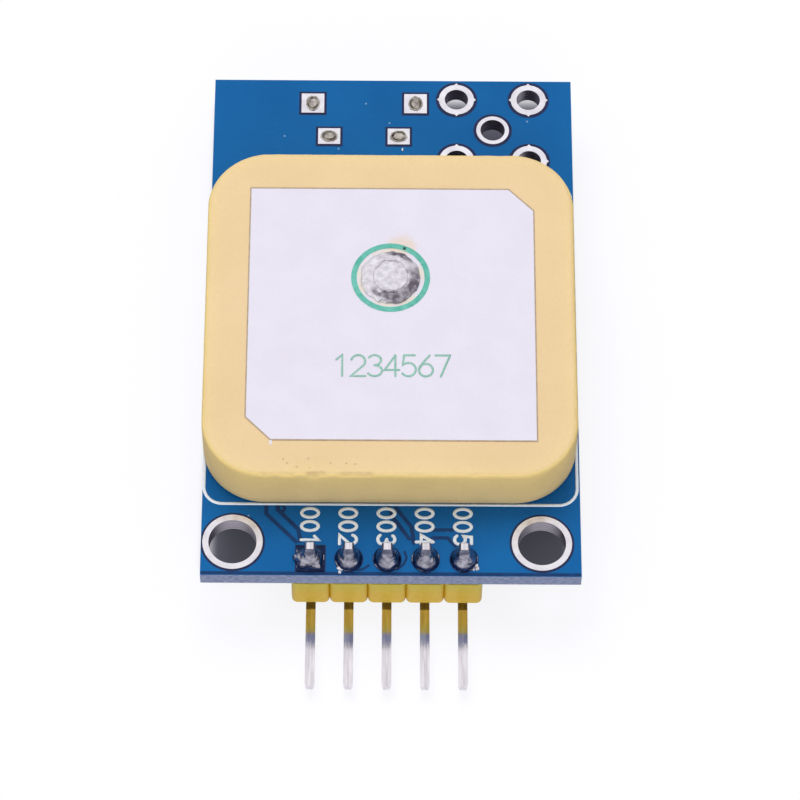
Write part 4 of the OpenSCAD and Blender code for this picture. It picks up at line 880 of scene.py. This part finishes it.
def floor():
    """Pale floor at the lowest point: matte grey that keeps the shadow, whitened for the camera and in
    reflections except beneath the board, where a painted shadow leaves it bluish dark grey."""
    half, level = 0.8, cad_box[0][2]
    ends = [(-half, -half, level), (half, -half, level), (half, half, level), (-half, half, level)]
    mesh = bpy.data.meshes.new("floor")
    mesh.from_pydata(ends, [], [(0, 1, 2, 3)])
    made, tree, shader, place = finish("matte_pale_floor", "#6A6A78", 0.9, Specular_IOR_Level=0.0)
    # The part beneath the board that gets no white, a painted shadow: its middle and half its size
    painted_shadow_middle, painted_shadow_half = (0.0002, 0.0191, level), (0.0116, 0.0182, 1)
    away = add(tree, "VectorMath", {0: place, 1: painted_shadow_middle}, operation="SUBTRACT")[0]
    away = add(tree, "VectorMath", {0: away}, operation="ABSOLUTE")[0]
    away = add(tree, "VectorMath", {0: away, 1: painted_shadow_half}, operation="SUBTRACT")[0]
    away = add(tree, "VectorMath", {0: away, 1: (0, 0, 0)}, operation="MAXIMUM")[0]
    away = add(tree, "VectorMath", {0: away}, operation="LENGTH")["Value"]
    outside_painted_shadow = add(tree, "MapRange", {"Value": away, "From Max": 1.6 * MM, "To Min": 0.01, "To Max": 0.85},
                     interpolation_type="SMOOTHSTEP")[0]
    glow = add(tree, "Math", {0: outside_painted_shadow, 1: shown(tree)}, operation="MULTIPLY")[0]
    wire(tree, shader, Emission_Strength=glow)
    shader.inputs["Emission Color"].default_value = colour("#FFFFFF")
    mesh.materials.append(made)
    ground = bpy.data.objects.new("floor", mesh)
    bpy.context.scene.collection.objects.link(ground)


def surround():
    """White to the camera and in reflections, a softer fill as light."""
    world = bpy.data.worlds.new("surround")
    bpy.context.scene.world = world
    world.use_nodes = True
    tree = world.node_tree
    back = tree.nodes["Background"]
    back.inputs["Color"].default_value = colour("#FFFFFF")
    strength = add(tree, "MapRange", {"Value": shown(tree), "To Min": 0.5, "To Max": 1.0})[0]
    wire(tree, back, Strength=strength)


def soft_box(name, spot, power):
    """Square soft box that shines from a point in metres at the board's middle."""
    aim, side = (0, 0.015, 0), 0.4
    lamp = bpy.data.lights.new(name, "AREA")
    lamp.size = side
    lamp.energy = power
    made = bpy.data.objects.new(name, lamp)
    made.location = spot
    made.rotation_euler = (Vector(aim) - Vector(spot)).to_track_quat("-Z", "Y").to_euler()
    made.visible_glossy = False
    bpy.context.scene.collection.objects.link(made)


def dark_card():
    """Dark screen around the camera, seen only in reflections: the unlit side of the studio."""
    away, columns, rows = 0.4, 9, 6
    # Where the screen starts and how far it goes on, in degrees around and above the object
    start, sweep, lowest, climb = -112, 62, 32, 32
    around = [math.radians(start + sweep * k / (columns - 1)) for k in range(columns)]
    rising = [math.radians(lowest + climb * k / (rows - 1)) for k in range(rows)]
    points = [(away * math.cos(a) * math.cos(e), away * math.sin(a) * math.cos(e), away * math.sin(e))
              for e in rising for a in around]
    starts = [r * columns + k for r in range(rows - 1) for k in range(columns - 1)]
    mesh = bpy.data.meshes.new("dark_card")
    mesh.from_pydata(points, [], [(k, k + 1, k + columns + 1, k + columns) for k in starts])
    mesh.materials.append(finish("matte_dark_card", "#2A2A30", 0.9)[0])
    card = bpy.data.objects.new("dark_card", mesh)
    card.visible_camera = card.visible_diffuse = card.visible_shadow = False
    bpy.context.scene.collection.objects.link(card)


def camera():
    """The photograph's viewpoint: high in front of the header, with a long lens."""
    eye, aim = Vector((-0.52, -110.27, 225.97)) * MM, Vector((0.25, 15.8, 1.2)) * MM
    view = bpy.data.cameras.new("camera")
    view.sensor_width = 36
    view.lens = 169.8
    view.shift_x, view.shift_y = 0.0101, -0.0814
    view.clip_start = 0.005
    made = bpy.data.objects.new("camera", view)
    made.location = eye
    made.rotation_mode = "QUATERNION"
    roll = Quaternion((0, 0, 1), math.radians(0.655))
    made.rotation_quaternion = (aim - eye).to_track_quat("-Z", "Y") @ roll
    bpy.context.scene.collection.objects.link(made)
    bpy.context.scene.camera = made


floor()
surround()
soft_box("key_light", (-0.08, 0.28, 0.55), power=2.2)
soft_box("fill_light", (0.0, -0.55, 0.22), power=1.25)
dark_card()
camera()
bpy.context.scene.view_settings.view_transform = "Standard"
